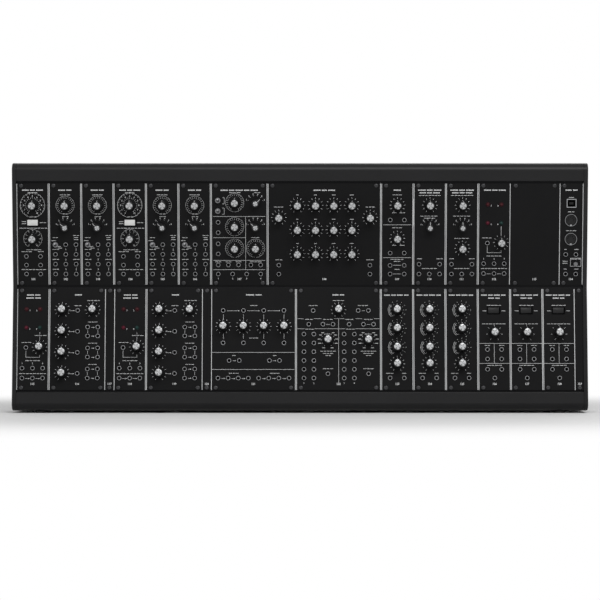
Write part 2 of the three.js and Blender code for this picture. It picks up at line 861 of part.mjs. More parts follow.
// A toggle's bat about its pivot in the bush, leaning up
function toggleBat() {
  const bat = turned(
    [
      [0, -toggleBallRadius],
      [toggleBallRadius, 0],
      [toggleNeckRadius, toggleBallRadius],
      [toggleTipRadius, toggleLength - toggleTipRadius],
      [0, toggleLength],
    ],
    smallSides,
  );
  return bat.rotateX(-toggleLean);
}

// Bodies behind a panel run back into its board
const boardRoot = -boardDepth - boardThickness / 2;
const behindPanel = [boardRoot, -panelThickness / 2];

// The controls of a panel. Each one with a name is a piece of its own, and the rest are fixed in place.
const controls = {
  knob(panel, centre, name) {
    if (name) {
      panel.solids.push(post(centre, bushRadius, [-rootDepth, bushHeight], smallSides));
      panel.meshes.push(placedMesh(name, knobSolid(), materials.knob, centre, 0));
    } else {
      panel.solids.push(solidOf(turned(fixedKnobProfile, fixedKnobSides).translate(...centre, 0)));
    }
  },
  selector(panel, centre, name, turnShare) {
    if (name) {
      panel.solids.push(post(centre, bushRadius, [-rootDepth, bushHeight], smallSides));
      panel.meshes.push(placedMesh(name, selectorSolid(turnShare), materials.knob, centre, 0));
    } else {
      panel.solids.push(...selectorParts(-rootDepth, [...centre, turnShare], fixedKnobSides));
    }
  },
  toggle(panel, centre, name) {
    panel.solids.push(post(centre, toggleBushRadius, [-rootDepth, toggleBushHeight], smallSides));
    if (name) {
      const mouth = circumscribed(toggleMouth, smallSides);
      const floor = togglePivot - toggleBallRadius - turningGap;
      panel.cuts.push(post(centre, mouth, [floor, toggleBushHeight + overrun], smallSides));
      panel.meshes.push(placedMesh(name, solidOf(toggleBat()), materials.chrome, centre, togglePivot));
    } else {
      panel.solids.push(solidOf(toggleBat().translate(...centre, togglePivot)));
    }
  },
  rocker(panel, centre, name) {
    panel.solids.push(rockerBezel(centre, -boardRoot));
    if (name) {
      panel.cuts.push(rockerRecess(centre));
      panel.meshes.push(rockerMesh(name, centre, panel.rockerMaterial));
    } else {
      panel.solids.push(solidOf(rockerPaddle().translate(...centre, -rockerPivot)));
    }
  },
  button(panel, centre, name) {
    const mouth = circumscribed(buttonRadius + turningGap, knobSides);
    const stem = post([0, 0], buttonRadius, [-buttonSink, buttonHeight], knobSides);
    panel.solids.push(pad(centre, buttonBodySide, buttonBodySide, behindPanel));
    panel.cuts.push(post(centre, mouth, [-buttonPocket, overrun], knobSides));
    panel.meshes.push(placedMesh(name, stem, materials.knob, centre, 0));
  },
  lamp(panel, centre) {
    panel.solids.push(post(centre, lampRadius, [-rootDepth, lampHeight], smallSides));
  },
  usb(panel, centre) {
    const mouthWidth = usbWidth - 2 * usbWall;
    const mouthHeight = usbHeight - 2 * usbWall;
    panel.solids.push(pad(centre, usbWidth, usbHeight, [boardRoot, usbProud]));
    panel.cuts.push(pad(centre, mouthWidth, mouthHeight, [-usbDepth, usbProud + overrun]));
    const tongue = [boardRoot, usbTongueLength - usbDepth];
    panel.inserts.push(pad(centre, usbTongueWidth, usbTongueHeight, tongue));
  },
  din(panel, centre) {
    panel.solids.push(pad(centre, dinBodySide, dinBodySide, behindPanel));
    panel.solids.push(post(centre, dinRadius, [-rootDepth, dinProud], dinSides));
    panel.cuts.push(post(centre, dinRadius - dinWall, [-dinRecess, dinProud + overrun], dinSides));
  },
};

// One module: the panel, the sockets and the board behind it are a single piece
function moduleGroup({ name, kind, moving = {} }) {
  const width = kind.widthUnits * unitWidth - panelGap;
  const place = ([across, down]) => [across * width, (1 - down) * panelHeight];
  const panel = {
    solids: [block([0, width], [0, panelHeight], [-panelThickness, 0])],
    cuts: [],
    inserts: [],
    meshes: [],
    rockerMaterial: kind.darkRocker ? materials.darkRocker : materials.whiteRocker,
  };
  const { solids, cuts, inserts, meshes } = panel;
  for (const [type, addControl] of Object.entries(controls)) {
    const places = kind[type + "Shares"] ?? [];
    places.forEach((shares, i) => {
      addControl(panel, place(shares), i === 0 ? moving[type] : undefined, shares[2]);
    });
  }
  const fields = kind.socketShares ?? [];
  for (const { downs, acrosses } of fields) {
    const [left, top] = place([acrosses[0], downs[0]]);
    const [right, bottom] = place([acrosses.at(-1), downs.at(-1)]);
    const sides = [left - socketSeat, right + socketSeat];
    solids.push(block(sides, [bottom - socketSeat, top + socketSeat], behindPanel));
    const bore = circumscribed(socketRadius, socketSides);
    for (const centre of downs.flatMap((down) => acrosses.map((across) => place([across, down])))) {
      cuts.push(post(centre, bore, [-socketDepth, overrun], socketSides));
    }
  }
  if (fields.length) {
    const boardSide = [boardMargin, width - boardMargin];
    const boardHeights = [boardInset, panelHeight - boardInset];
    const headerAt = [width / 2, panelHeight / 2];
    const boardBack = -boardDepth - boardThickness;
    solids.push(block(boardSide, boardHeights, [boardBack, -boardDepth]));
    solids.push(pad(headerAt, headerWidth, headerLength, [boardBack - headerDepth, boardRoot]));
  }
  const cut = cuts.length ? joined(solids).subtract(joined(cuts)) : joined(solids);
  const group = new THREE.Group();
  group.add(meshOf(name, joined([cut, ...inserts]), materials.panel), ...meshes);
  return group;
}

function fillRow(frame, modules) {
  let usedUnits = 0;
  for (const module of modules) {
    const group = moduleGroup(module);
    group.position.x = usedUnits * unitWidth + panelGap / 2;
    usedUnits += module.kind.widthUnits;
    frame.add(group);
  }
  return frame;
}

const synthesizer = new THREE.Group();
synthesizer.add(
  caseProfile("top_profile", caseTop, -1, topFrame, panelHeight),
  caseProfile("bottom_profile", caseBottom, 1, bottomFrame, 0),
  centreRail(),
  cheek("left_cheek", false),
  cheek("right_cheek", true),
  rearCover(),
  busBoard(),
  powerEntry(),
  stand(),
  foot("left_foot", -1),
  foot("right_foot", 1),
  fillRow(topFrame, topRow),
  fillRow(bottomFrame, bottomRow),
);

// The origin lies on the ground under the middle of the whole depth, with the controls counted in
const bounds = new THREE.Box3().setFromObject(synthesizer, true);
synthesizer.position.y = -(bounds.min.y + bounds.max.y) / 2;

export default synthesizer;
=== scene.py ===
# Modular synthesizer: the looks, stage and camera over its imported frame. Lengths are in metres.
import math

import bmesh
import bpy
from bpy.props import FloatProperty, FloatVectorProperty, IntProperty, PointerProperty
from mathutils import Matrix, Vector


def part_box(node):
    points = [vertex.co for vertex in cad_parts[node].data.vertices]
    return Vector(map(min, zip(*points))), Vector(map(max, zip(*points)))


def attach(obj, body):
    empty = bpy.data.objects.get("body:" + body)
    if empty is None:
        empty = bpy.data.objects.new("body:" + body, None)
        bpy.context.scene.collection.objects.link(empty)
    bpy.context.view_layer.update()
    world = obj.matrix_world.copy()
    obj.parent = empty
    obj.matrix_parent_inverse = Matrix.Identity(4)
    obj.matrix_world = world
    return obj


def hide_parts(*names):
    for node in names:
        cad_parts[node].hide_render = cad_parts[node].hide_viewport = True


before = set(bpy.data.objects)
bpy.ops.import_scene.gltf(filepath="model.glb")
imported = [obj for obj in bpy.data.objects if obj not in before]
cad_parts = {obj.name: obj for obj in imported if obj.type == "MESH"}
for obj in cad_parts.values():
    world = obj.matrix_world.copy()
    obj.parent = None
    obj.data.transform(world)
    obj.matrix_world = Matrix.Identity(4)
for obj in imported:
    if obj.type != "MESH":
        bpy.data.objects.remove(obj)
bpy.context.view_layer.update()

bl_info = {
    "name": "Modular Synthesizer",
    "version": (1, 0, 0),
    "blender": (4, 5, 0),
    "location": "3D View > Sidebar > Synthesizer",
    "description": "Dresses the frame of a two-row modular synthesizer with its panels and controls",
    "category": "Add Mesh",
}

MM = 0.001


def length(name, description, millimetres):
    """A size that a user may change, given here in millimetres."""
    default = millimetres * MM
    return FloatProperty(
        name=name, description=description, default=default, min=0.0, precision=5, unit="LENGTH", subtype="DISTANCE"
    )


def angle(name, description, degrees):
    default = math.radians(degrees)
    return FloatProperty(name=name, description=description, default=default, unit="ROTATION", subtype="ANGLE")


def colour(name, description, *rgb):
    return FloatVectorProperty(
        name=name, description=description, default=(*rgb, 1.0), size=4, min=0.0, max=1.0, subtype="COLOR"
    )


class SynthSizes(bpy.types.PropertyGroup):
    """Sizes of the panels, the case and the controls."""

    panel_height: length("Panel height", "Height of every front panel", 128.5)
    panel_thickness: length("Panel thickness", "Sheet of a front panel", 2)
    row_tilt: angle("Row tilt", "Lean of each row from upright", 6.3)
    stripe_width: length("Stripe width", "Bare edge along both sides of a panel", 0.78)
    board_depth: length("Board depth", "From a panel face to the circuit board behind it", 10.5)
    lip_radius: length("Lip radius", "Rounding of the case along its front", 9.6)
    lip_height: length("Lip height", "Height of the lips above and below the rows", 23.5)
    wall: length("Wall", "Sheet of the case profiles", 2.5)
    cheek_edge: length("Cheek edge", "Rounding of the end plates", 1.6)
    socket_bore: length("Socket bore", "Radius of the hole of a socket", 1.75)
    socket_rim: length("Socket rim", "Outer radius of the ring nut of a socket", 2.6)
    knob_foot: length("Knob foot", "Radius of the skirt of a round knob", 7.2)
    knob_waist: length("Knob waist", "Radius of a knob over its skirt", 5.9)
    knob_crown: length("Knob crown", "Radius of a knob at its top", 5.2)
    knob_height: length("Knob height", "Height of a round knob", 14)
    cap_radius: length("Cap radius", "Radius of the spun cap of a knob", 4.2)
    selector_radius: length("Selector radius", "Radius of the body of a selector", 4.6)
    selector_height: length("Selector height", "Height of a selector", 11.5)
    selector_tip: length("Selector tip", "Reach of the beak of a selector", 9)
    selector_cap: length("Selector cap", "Radius of the spun cap of a selector", 2.95)
    print_depth: length("Print depth", "How far the print stands on a panel", 0.03)
    knob_flutes: IntProperty(name="Knob flutes", description="Grooves round a knob", default=12, min=0)


class SynthColours(bpy.types.PropertyGroup):
    """Colours of the finishes."""

    case: colour("Case", "Powder coat of the case", 0.0115, 0.0115, 0.012)
    panel: colour("Panel", "Paint of the front panels", 0.0064, 0.0064, 0.0067)
    mark: colour("Print", "Marks printed on the panels", 0.64, 0.645, 0.65)
    stripe: colour("Stripe", "Bare edges of the panels", 0.50, 0.505, 0.51)
    knob: colour("Knob", "Plastic of the knobs", 0.0078, 0.0078, 0.0082)
    cap: colour("Cap", "Spun metal of the knob caps", 0.36, 0.365, 0.37)
    nickel: colour("Nickel", "Plating of the ring nuts", 0.41, 0.415, 0.425)
    white_rocker: colour("White rocker", "Plastic of the light rockers", 0.625, 0.625, 0.615)
    dark_rocker: colour("Dark rocker", "Plastic of the dark rockers", 0.0068, 0.0068, 0.0072)
    board: colour("Board", "Lacquer of the circuit boards", 0.012, 0.055, 0.03)
    floor: colour("Floor", "Floor of the stage", 0.86, 0.86, 0.86)


# Places on the panels as shares across and down. A knob adds the kind of its dial, and a selector its turn
# in degrees. Sockets stand at each crossing of their shares down and across. Titles and labels end with
# their width and numerals with their number. Runs and arrows are a share down and two across, and rises a
# share across and two down.
LADDER = (0.451, 0.538, 0.624, 0.71, 0.796, 0.882)
FOURTHS = (0.142, 0.382, 0.621, 0.86)
BANK_COLUMNS = (0.262, 0.422, 0.583, 0.743)
BANK_ROWS = (0.214, 0.452, 0.689)

# What the voltage controllers and the control voltages share
LEVEL = {
    "knob": [(0.712, 0.578, "ticks")],
    "lamp": [(0.295, 0.206), (0.715, 0.206), (0.295, 0.387), (0.715, 0.387)],
    "socket": [((0.583,), (0.286,)), ((0.785, 0.882), (0.174, 0.5, 0.815))],
    "numeral": [
        (0.4, 0.218, 1), (0.61, 0.218, 2), (0.4, 0.4, 3), (0.61, 0.4, 4), (0.174, 0.738, 1), (0.5, 0.738, 2),
        (0.815, 0.738, 3),
    ],
}

KINDS = {
    "driver": {
        "knob": [(0.497, 0.213, "wide"), (0.497, 0.54, "digits")],
        "rocker": [(0.509, 0.383)],
        "socket": [((0.714, 0.799, 0.887), (0.291, 0.731))],
        "title": [(0.5, 0.066, 0.65)],
        "label": [
            (0.5, 0.09, 0.29), (0.23, 0.374, 0.14), (0.23, 0.394, 0.14), (0.81, 0.384, 0.2), (0.515, 0.438, 0.86),
            (0.52, 0.327, 0.18), (0.52, 0.65, 0.46), (0.3, 0.668, 0.32), (0.74, 0.668, 0.18), (0.52, 0.844, 0.76),
        ],
    },
    "oscillator": {
        "knob": [(0.502, 0.214, "ring")],
        "selector": [(0.5, 0.432, 45)],
        "toggle": [(0.191, 0.6)],
        "socket": [((0.599,), (0.51, 0.831)), ((0.694, 0.79, 0.887), (0.19, 0.51, 0.831))],
        "title": [(0.5, 0.066, 0.41)],
        "label": [
            (0.5, 0.112, 0.32), (0.5, 0.298, 0.16), (0.51, 0.325, 0.2), (0.19, 0.531, 0.16), (0.14, 0.56, 0.14),
            (0.2, 0.646, 0.2), (0.2, 0.744, 0.2), (0.2, 0.841, 0.2), (0.835, 0.51, 0.18), (0.835, 0.53, 0.12),
            (0.84, 0.55, 0.14), (0.835, 0.744, 0.2), (0.3, 0.617, 0.12), (0.33, 0.633, 0.14),
        ],
        "numeral": [(0.512, 0.646, 1), (0.512, 0.744, 2), (0.512, 0.841, 3)],
        "rise": [(0.833, 0.635, 0.66), (0.833, 0.826, 0.853)],
    },
    "twin": {
        "knob": [(0.418, 0.188, "ring"), (0.418, 0.423, "ring"), (0.418, 0.635, "ring"), (0.788, 0.635, "ring")],
        "selector": [(0.786, 0.195, -45), (0.786, 0.431, 45)],
        "toggle": [(0.12, 0.167), (0.12, 0.27)],
        "socket": [
            ((0.38, 0.481, 0.591, 0.69), (0.125,)), ((0.798,), (0.126, 0.306, 0.486, 0.703, 0.878)),
            ((0.887,), (0.126, 0.381, 0.63, 0.878)),
        ],
        "title": [(0.5, 0.067, 0.66)],
        "label": [
            (0.42, 0.09, 0.2), (0.82, 0.09, 0.1), (0.784, 0.53, 0.14), (0.306, 0.768, 0.1), (0.486, 0.768, 0.1),
            (0.79, 0.768, 0.2), (0.126, 0.768, 0.1),
        ],
        "run": [
            (0.3235, 0.04, 0.96), (0.531, 0.04, 0.612), (0.754, 0.04, 0.96), (0.845, 0.04, 0.96), (0.14, 0.2, 0.235),
            (0.2, 0.2, 0.235), (0.241, 0.2, 0.235), (0.301, 0.2, 0.235),
        ],
        "rise": [(0.612, 0.3235, 0.845), (0.235, 0.14, 0.2), (0.235, 0.241, 0.301)],
        "numeral": [(0.126, 0.933, 1), (0.381, 0.933, 2), (0.63, 0.933, 3), (0.878, 0.933, 4)],
    },
    "bank": {
        "knob": [
            (0.098, 0.333, "ticks"), *((across, down, "ticks") for down in BANK_ROWS for across in BANK_COLUMNS),
            (0.905, 0.333, "ticks"),
        ],
        "socket": [((0.8, 0.888), (0.098,)), ((0.8, 0.888), (0.904,))],
        "title": [(0.5, 0.067, 0.19)],
        "label": [
            *((across, down - 0.101, 0.02 + 0.005 * i) for down in BANK_ROWS for i, across in enumerate(BANK_COLUMNS)),
            (0.098, 0.231, 0.08), (0.905, 0.231, 0.08), (0.098, 0.748, 0.06), (0.904, 0.748, 0.065),
        ],
    },
    "noise": {
        "knob": [(0.506, 0.213, "ticks"), (0.506, 0.538, "ticks")],
        "socket": [((0.357,), (0.284, 0.723)), ((0.681, 0.802, 0.887), (0.284, 0.723))],
        "title": [(0.5, 0.066, 0.23)],
        "label": [
            (0.5, 0.112, 0.28), (0.41, 0.287, 0.13), (0.66, 0.287, 0.16), (0.5, 0.434, 0.3), (0.41, 0.606, 0.13),
            (0.66, 0.606, 0.15), (0.5, 0.744, 0.4), (0.5, 0.764, 0.2), (0.5, 0.842, 0.15),
        ],
        "run": [(0.405, 0.06, 0.94), (0.727, 0.06, 0.94), (0.802, 0.38, 0.62), (0.887, 0.38, 0.62)],
    },
    "high_pass": {
        "knob": [(0.51, 0.213, "ticks")],
        "selector": [(0.511, 0.434, 0)],
        "socket": [((0.791,), (0.177, 0.82)), ((0.887,), (0.177, 0.499, 0.82))],
        "title": [(0.5, 0.066, 0.73), (0.5, 0.092, 0.63)],
        "label": [
            (0.5, 0.118, 0.68), (0.48, 0.32, 0.52), (0.5, 0.34, 0.34), (0.19, 0.738, 0.15), (0.82, 0.738, 0.2),
            (0.5, 0.834, 0.46),
        ],
    },
    "low_pass": {
        "knob": [(0.515, 0.213, "ticks"), (0.515, 0.636, "ticks")],
        "selector": [(0.516, 0.434, 0)],
        "socket": [((0.791,), (0.181, 0.819)), ((0.887,), (0.181, 0.501, 0.819))],
        "title": [(0.5, 0.066, 0.73), (0.5, 0.092, 0.63)],
        "label": [
            (0.5, 0.118, 0.69), (0.49, 0.32, 0.53), (0.49, 0.538, 0.43), (0.19, 0.738, 0.14), (0.81, 0.738, 0.18),
            (0.5, 0.834, 0.47),
        ],
    },
    "voltages": {
        **LEVEL,
        "title": [(0.51, 0.066, 0.42), (0.51, 0.096, 0.46)],
        "label": [(0.74, 0.464, 0.36), (0.3, 0.533, 0.3), (0.5, 0.711, 0.46), (0.5, 0.838, 0.84)],
        "run": [(0.678, 0.286, 0.717)],
        "arrow": [(0.886, 0.27, 0.4), (0.886, 0.595, 0.715)],
        "rise": [(0.715, 0.433, 0.454), (0.715, 0.476, 0.5), (0.286, 0.612, 0.679), (0.717, 0.655, 0.679)],
    },
    "outputs": {
        **LEVEL,
        "title": [(0.51, 0.066, 0.68)],
        "label": [(0.27, 0.533, 0.29), (0.5, 0.711, 0.46), (0.5, 0.834, 0.8)],
        "run": [(0.678, 0.286, 0.717), (0.886, 0.27, 0.4), (0.886, 0.595, 0.715)],
        "rise": [(0.715, 0.42, 0.51), (0.286, 0.612, 0.679), (0.717, 0.655, 0.679)],
    },
    "data": {
        "usb": [(0.502, 0.194)],
        "din": [(0.489, 0.36), (0.489, 0.545)],
        "button": [(0.7, 0.79)],
        "socket": [((0.695,), (0.28, 0.704)), ((0.887,), (0.28, 0.704))],
        "title": [(0.5, 0.066, 0.5)],
        "label": [
            (0.5, 0.138, 0.2), (0.49, 0.278, 0.26), (0.5, 0.463, 0.42), (0.27, 0.646, 0.1), (0.73, 0.646, 0.17),
            (0.27, 0.839, 0.12), (0.73, 0.839, 0.17), (0.26, 0.762, 0.2), (0.26, 0.782, 0.2), (0.7, 0.741, 0.4),
        ],
        "run": [(0.732, 0.48, 0.92), (0.812, 0.48, 0.92)],
        "rise": [(0.48, 0.732, 0.812), (0.92, 0.732, 0.812)],
    },
    "mixer": {
        "knob": [
            (0.768, 0.212, "ticks"), (0.229, 0.212, "ticks"), (0.229, 0.42, "ticks"), (0.229, 0.627, "ticks"),
            (0.229, 0.834, "ticks"),
        ],
        "socket": [
            *(((down,), (0.502,)) for down in (0.219, 0.424, 0.631, 0.837)),
            *((downs, (0.681, 0.86)) for downs in ((0.382, 0.469), (0.587, 0.676), (0.793, 0.882))),
        ],
        "title": [(0.511, 0.065, 0.125)],
        "label": [
            (0.781, 0.121, 0.22), (0.505, 0.171, 0.12), (0.77, 0.332, 0.16), (0.77, 0.54, 0.16), (0.77, 0.748, 0.15),
        ],
        "arrow": [
            *((down, 0.34, 0.44) for down in (0.221, 0.426, 0.633, 0.839)),
            *((down, 0.745, 0.795) for down in (0.384, 0.471, 0.589, 0.678, 0.795, 0.884)),
        ],
        "rise": [(across, down, down + 0.028) for across in (0.681, 0.86) for down in (0.411, 0.617, 0.823)],
    },
    "attenuators": {
        "knob": [(across, 0.375, "ticks") for across in FOURTHS],
        "socket": [
            ((0.219,), FOURTHS), ((0.537,), FOURTHS), ((0.71,), (0.214, 0.333)), ((0.71,), (0.689, 0.808)),
            ((0.882,), (0.083, 0.203, 0.323, 0.441)), ((0.882,), (0.562, 0.681, 0.8, 0.92)),
        ],
        "title": [(0.503, 0.065, 0.185)],
        "label": [
            (0.503, 0.17, 0.085), (0.503, 0.489, 0.105), (0.27, 0.661, 0.04), (0.75, 0.661, 0.04),
            (0.27, 0.835, 0.115), (0.75, 0.835, 0.115),
        ],
        "run": [(0.63, 0.015, 0.985), (0.797, 0.015, 0.985)],
        "arrow": [
            (0.221, 0.185, 0.33), (0.221, 0.425, 0.57), (0.221, 0.664, 0.81), (0.712, 0.256, 0.292),
            (0.712, 0.731, 0.766), (0.886, 0.125, 0.162), (0.886, 0.245, 0.283), (0.886, 0.363, 0.4),
            (0.886, 0.603, 0.64), (0.886, 0.722, 0.759), (0.886, 0.842, 0.879),
        ],
        "rise": [(across, down, down + 0.05) for across in (0.145, 0.382, 0.621, 0.86) for down in (0.257, 0.447)],
    },
    "patch": {
        "knob": [(0.501, 0.212, "ticks"), (0.376, 0.508, "words"), (0.853, 0.508, "words")],
        "socket": [
            ((0.219,), (0.202,)), ((0.219,), (0.734, 0.854)), ((0.354,), (0.15,)), ((0.354,), (0.317, 0.436)),
            ((0.354,), (0.626,)), ((0.354,), (0.795, 0.914)), (LADDER, (0.093, 0.21)), (LADDER, (0.567, 0.687)),
            ((0.839,), (0.375,)), ((0.839,), (0.855,)),
        ],
        "title": [(0.5, 0.065, 0.14)],
        "label": [
            (0.5, 0.121, 0.13), (0.202, 0.17, 0.1), (0.79, 0.17, 0.12), (0.152, 0.306, 0.09), (0.377, 0.306, 0.11),
            (0.63, 0.306, 0.09), (0.853, 0.306, 0.1), (0.16, 0.402, 0.1), (0.64, 0.402, 0.1), (0.37, 0.45, 0.07),
            (0.847, 0.45, 0.07), (0.378, 0.618, 0.18), (0.378, 0.64, 0.12), (0.378, 0.661, 0.06),
            (0.854, 0.618, 0.18), (0.854, 0.64, 0.12), (0.854, 0.661, 0.06), (0.377, 0.79, 0.12), (0.853, 0.79, 0.12),
        ],
        "run": [
            (0.299, 0.015, 0.09), (0.299, 0.21, 0.3), (0.299, 0.45, 0.57), (0.299, 0.7, 0.78), (0.299, 0.92, 0.985),
            (0.398, 0.015, 0.1), (0.398, 0.22, 0.58), (0.398, 0.7, 0.985), (0.356, 0.357, 0.397),
            (0.356, 0.835, 0.875), (0.221, 0.775, 0.813),
        ],
        "rise": [(0.502, 0.299, 0.925)],
        "numeral": [(0.093, 0.931, 1), (0.21, 0.931, 2), (0.567, 0.931, 3), (0.687, 0.931, 4)],
    },
    "envelope": {
        "knob": [
            (0.499, 0.213, "crescent"), (0.499, 0.396, "crescent"), (0.499, 0.58, "crescent"),
            (0.499, 0.742, "ticks"),
        ],
        "socket": [((0.881,), (0.277, 0.715))],
        "title": [(0.48, 0.067, 0.76)],
        "label": [(0.27, 0.835, 0.22), (0.715, 0.835, 0.12)],
    },
    "amplifier": {
        "knob": [(0.504, 0.438, "seven")],
        "rocker": [(0.49, 0.219)],
        "socket": [((0.602, 0.695), (0.285, 0.725)), ((0.796,), (0.285, 0.725)), ((0.881,), (0.507,))],
        "title": [(0.48, 0.067, 0.76), (0.5, 0.097, 0.36)],
        "label": [
            (0.5, 0.168, 0.44), (0.2, 0.222, 0.12), (0.79, 0.222, 0.12), (0.49, 0.35, 0.72), (0.285, 0.562, 0.16),
            (0.725, 0.562, 0.16), (0.5, 0.757, 0.46),
        ],
        "run": [(0.542, 0.03, 0.97), (0.738, 0.03, 0.97)],
        "rise": [(0.497, 0.542, 0.738)],
    },
    "blank": {},
}

# The modules from left to right: name, kind and the controls that move, whose last word is their sort
ROWS = {
    "top_row": [
        ("oscillator_driver_1", "driver", "driver_1_tuning_knob", "driver_1_standby_rocker"),
        (
            "oscillator_1", "oscillator", "oscillator_1_tuning_knob", "oscillator_1_range_selector",
            "oscillator_1_sync_toggle",
        ),
        ("oscillator_2", "oscillator"),
        ("oscillator_driver_2", "driver"),
        ("oscillator_3", "oscillator"),
        ("oscillator_4", "oscillator"),
        ("voltage_oscillator", "twin", "voltage_oscillator_tuning_knob"),
        ("filter_bank", "bank", "filter_bank_low_band_knob"),
        ("noise_filters", "noise", "noise_low_pass_knob"),
        ("high_pass_filter", "high_pass", "high_pass_cutoff_knob"),
        ("low_pass_filter", "low_pass", "low_pass_cutoff_knob"),
        ("control_voltages", "outputs", "control_voltages_level_knob"),
        ("wide_blank_panel", "blank"),
        ("midi_interface", "data", "midi_learn_button"),
    ],
    "bottom_row": [
        ("voltage_controller_1", "voltages", "voltage_controller_1_level_knob"),
        ("mixer_1", "mixer", "mixer_1_master_knob"),
        ("narrow_blank_panel_1", "blank"),
        ("voltage_controller_2", "voltages"),
        ("mixer_2", "mixer"),
        ("narrow_blank_panel_2", "blank"),
        ("attenuators", "attenuators", "attenuator_1_knob"),
        ("patch_interface", "patch", "patch_interface_level_knob"),
        ("envelope_generator_1", "envelope", "envelope_1_attack_knob"),
        ("envelope_generator_2", "envelope"),
        ("envelope_generator_3", "envelope"),
        ("amplifier_1", "amplifier", "amplifier_1_gain_knob", "amplifier_1_mode_rocker"),
        ("amplifier_2", "amplifier"),
        ("amplifier_3", "amplifier"),
        ("narrow_blank_panel_3", "blank"),
    ],
}

# Height of the blocks that stand for a line of words, the longest word, the gap between words and the pitch
TITLE = (1.45 * MM, 8.5 * MM, 1.5 * MM, 1.25 * MM)
LABEL = (0.7 * MM, 4.2 * MM, 0.9 * MM, 0.62 * MM)
RULE = 0.34 * MM
DIAL_WORD = 3.4 * MM
NUMERAL, PANEL_NUMBER = 1.9 * MM, 2.7 * MM


def ticks(count, radius, reach, width, sweep=300):
    """The tree of a dial's ticks with its inputs, from millimetres and degrees."""
    inputs = {"Radius": radius * MM, "Length": reach * MM, "Width": width * MM}
    return "ticks", {"Count": count, "Sweep": math.radians(sweep), **inputs}


def arcs(radius, width, sweep, turn=0):
    """The tree of a dial's arc with its inputs, from millimetres and degrees."""
    inputs = {"Radius": radius * MM, "Width": width * MM}
    return "arcs", {"Sweep": math.radians(sweep), "Turn": math.radians(turn), **inputs}


# What each dial is printed with. Numbers are a radius and a size in millimetres, bearings in degrees and
# the first number, and words a radius and bearings.
TENTHS = range(-150, 151, 30)
DIALS = {
    "wide": {
        "marks": [arcs(15.4, 0.26, 345), ticks(21, 14.4, 1.3, 0.26), ticks(21, 8.9, 2.0, 0.22)],
        "numbers": [(11.4, 1.9, TENTHS, 0)],
    },
    "ring": {"marks": [arcs(11.5, 0.2, 350), ticks(21, 9.4, 2.2, 0.21)]},
    "digits": {"marks": [arcs(11.6, 0.2, 300), ticks(11, 8.2, 1.0, 0.24)], "numbers": [(10.0, 1.4, TENTHS, 0)]},
    "ticks": {"marks": [ticks(11, 8.9, 1.8, 0.36)]},
    "seven": {"marks": [ticks(7, 9.4, 1.9, 0.32)]},
    "crescent": {
        "marks": [arcs(9.4, 0.34, 100, -98), arcs(11.0, 0.3, 92, -95), ticks(11, 8.1, 1.1, 0.3)],
        "numbers": [(11.2, 1.1, range(-120, 151, 30), 1)],
    },
    "words": {
        "marks": [ticks(11, 8.2, 1.1, 0.34)],
        "words": [(11.2, (-112, -84, -56, -36, 36, 56, 84, 112, 152, -152))],
    },
    "steps": {
        "marks": [ticks(6, 9.9, 1.0, 0.32, 137.5)],
        "numbers": [(12.0, 1.8, (-68.75, -41.25, -13.75, 13.75, 41.25, 68.75), 1)],
    },
}


def sizes():
    return bpy.context.scene.synth_sizes


def colours():
    return bpy.context.scene.synth_colours


def shift(x, y, z):
    return Matrix.Translation((x, y, z))


def spin(radians, axis):
    return Matrix.Rotation(radians, 4, axis)


def scaled(pairs):
    """Pairs of millimetres in metres."""
    return [(x * MM, y * MM) for x, y in pairs]


def placed(name, data):
    """A new object in the scene."""
    item = bpy.data.objects.new(name, data)
    bpy.context.collection.objects.link(item)
    return item


def settled(item):
    """The mesh that an object ends up with. The object is taken away."""
    graph = bpy.context.evaluated_depsgraph_get()
    mesh = bpy.data.meshes.new_from_object(item.evaluated_get(graph))
    item.modifiers.clear()
    bpy.data.objects.remove(item)
    return mesh


class Value:
    """A node's output that takes part in Python sums."""

    def __init__(self, graph, socket):
        self.graph = graph
        self.socket = socket

    def __add__(self, other):
        return self.graph.math("ADD", self, other)

    def __radd__(self, other):
        return self.graph.math("ADD", other, self)

    def __sub__(self, other):
        return self.graph.math("SUBTRACT", self, other)

    def __rsub__(self, other):
        return self.graph.math("SUBTRACT", other, self)

    def __mul__(self, other):
        return self.graph.math("MULTIPLY", self, other)

    def __truediv__(self, other):
        return self.graph.math("DIVIDE", self, other)


class Graph:
    """Adds nodes to a tree and links them."""

    def __init__(self, tree):
        self.tree = tree

    def node(self, kind, settings=None, values=None, output=0):
        node = self.tree.nodes.new(kind)
        for key, value in (settings or {}).items():
            setattr(node, key, value)
        for key, value in (values or {}).items():
            if isinstance(value, Value):
                self.tree.links.new(value.socket, node.inputs[key])
            else:
                node.inputs[key].default_value = value
        return Value(self, node.outputs[output])

    def math(self, operation, *values):
        return self.node("ShaderNodeMath", {"operation": operation}, dict(enumerate(values)))

    def vector(self, x, y, z):
        return self.node("ShaderNodeCombineXYZ", None, {0: x, 1: y, 2: z})

    def seen(self):
        """Over 0 on rays from the camera, straight, mirrored or through glass, and 0 on stray light."""
        rays = ("Is Camera Ray", "Is Glossy Ray", "Is Transmission Ray")
        return sum(self.node("ShaderNodeLightPath", output=ray) for ray in rays)


def shade(rgb, factor):
    return (*(min(1.0, channel * factor) for channel in rgb[:3]), 1.0)


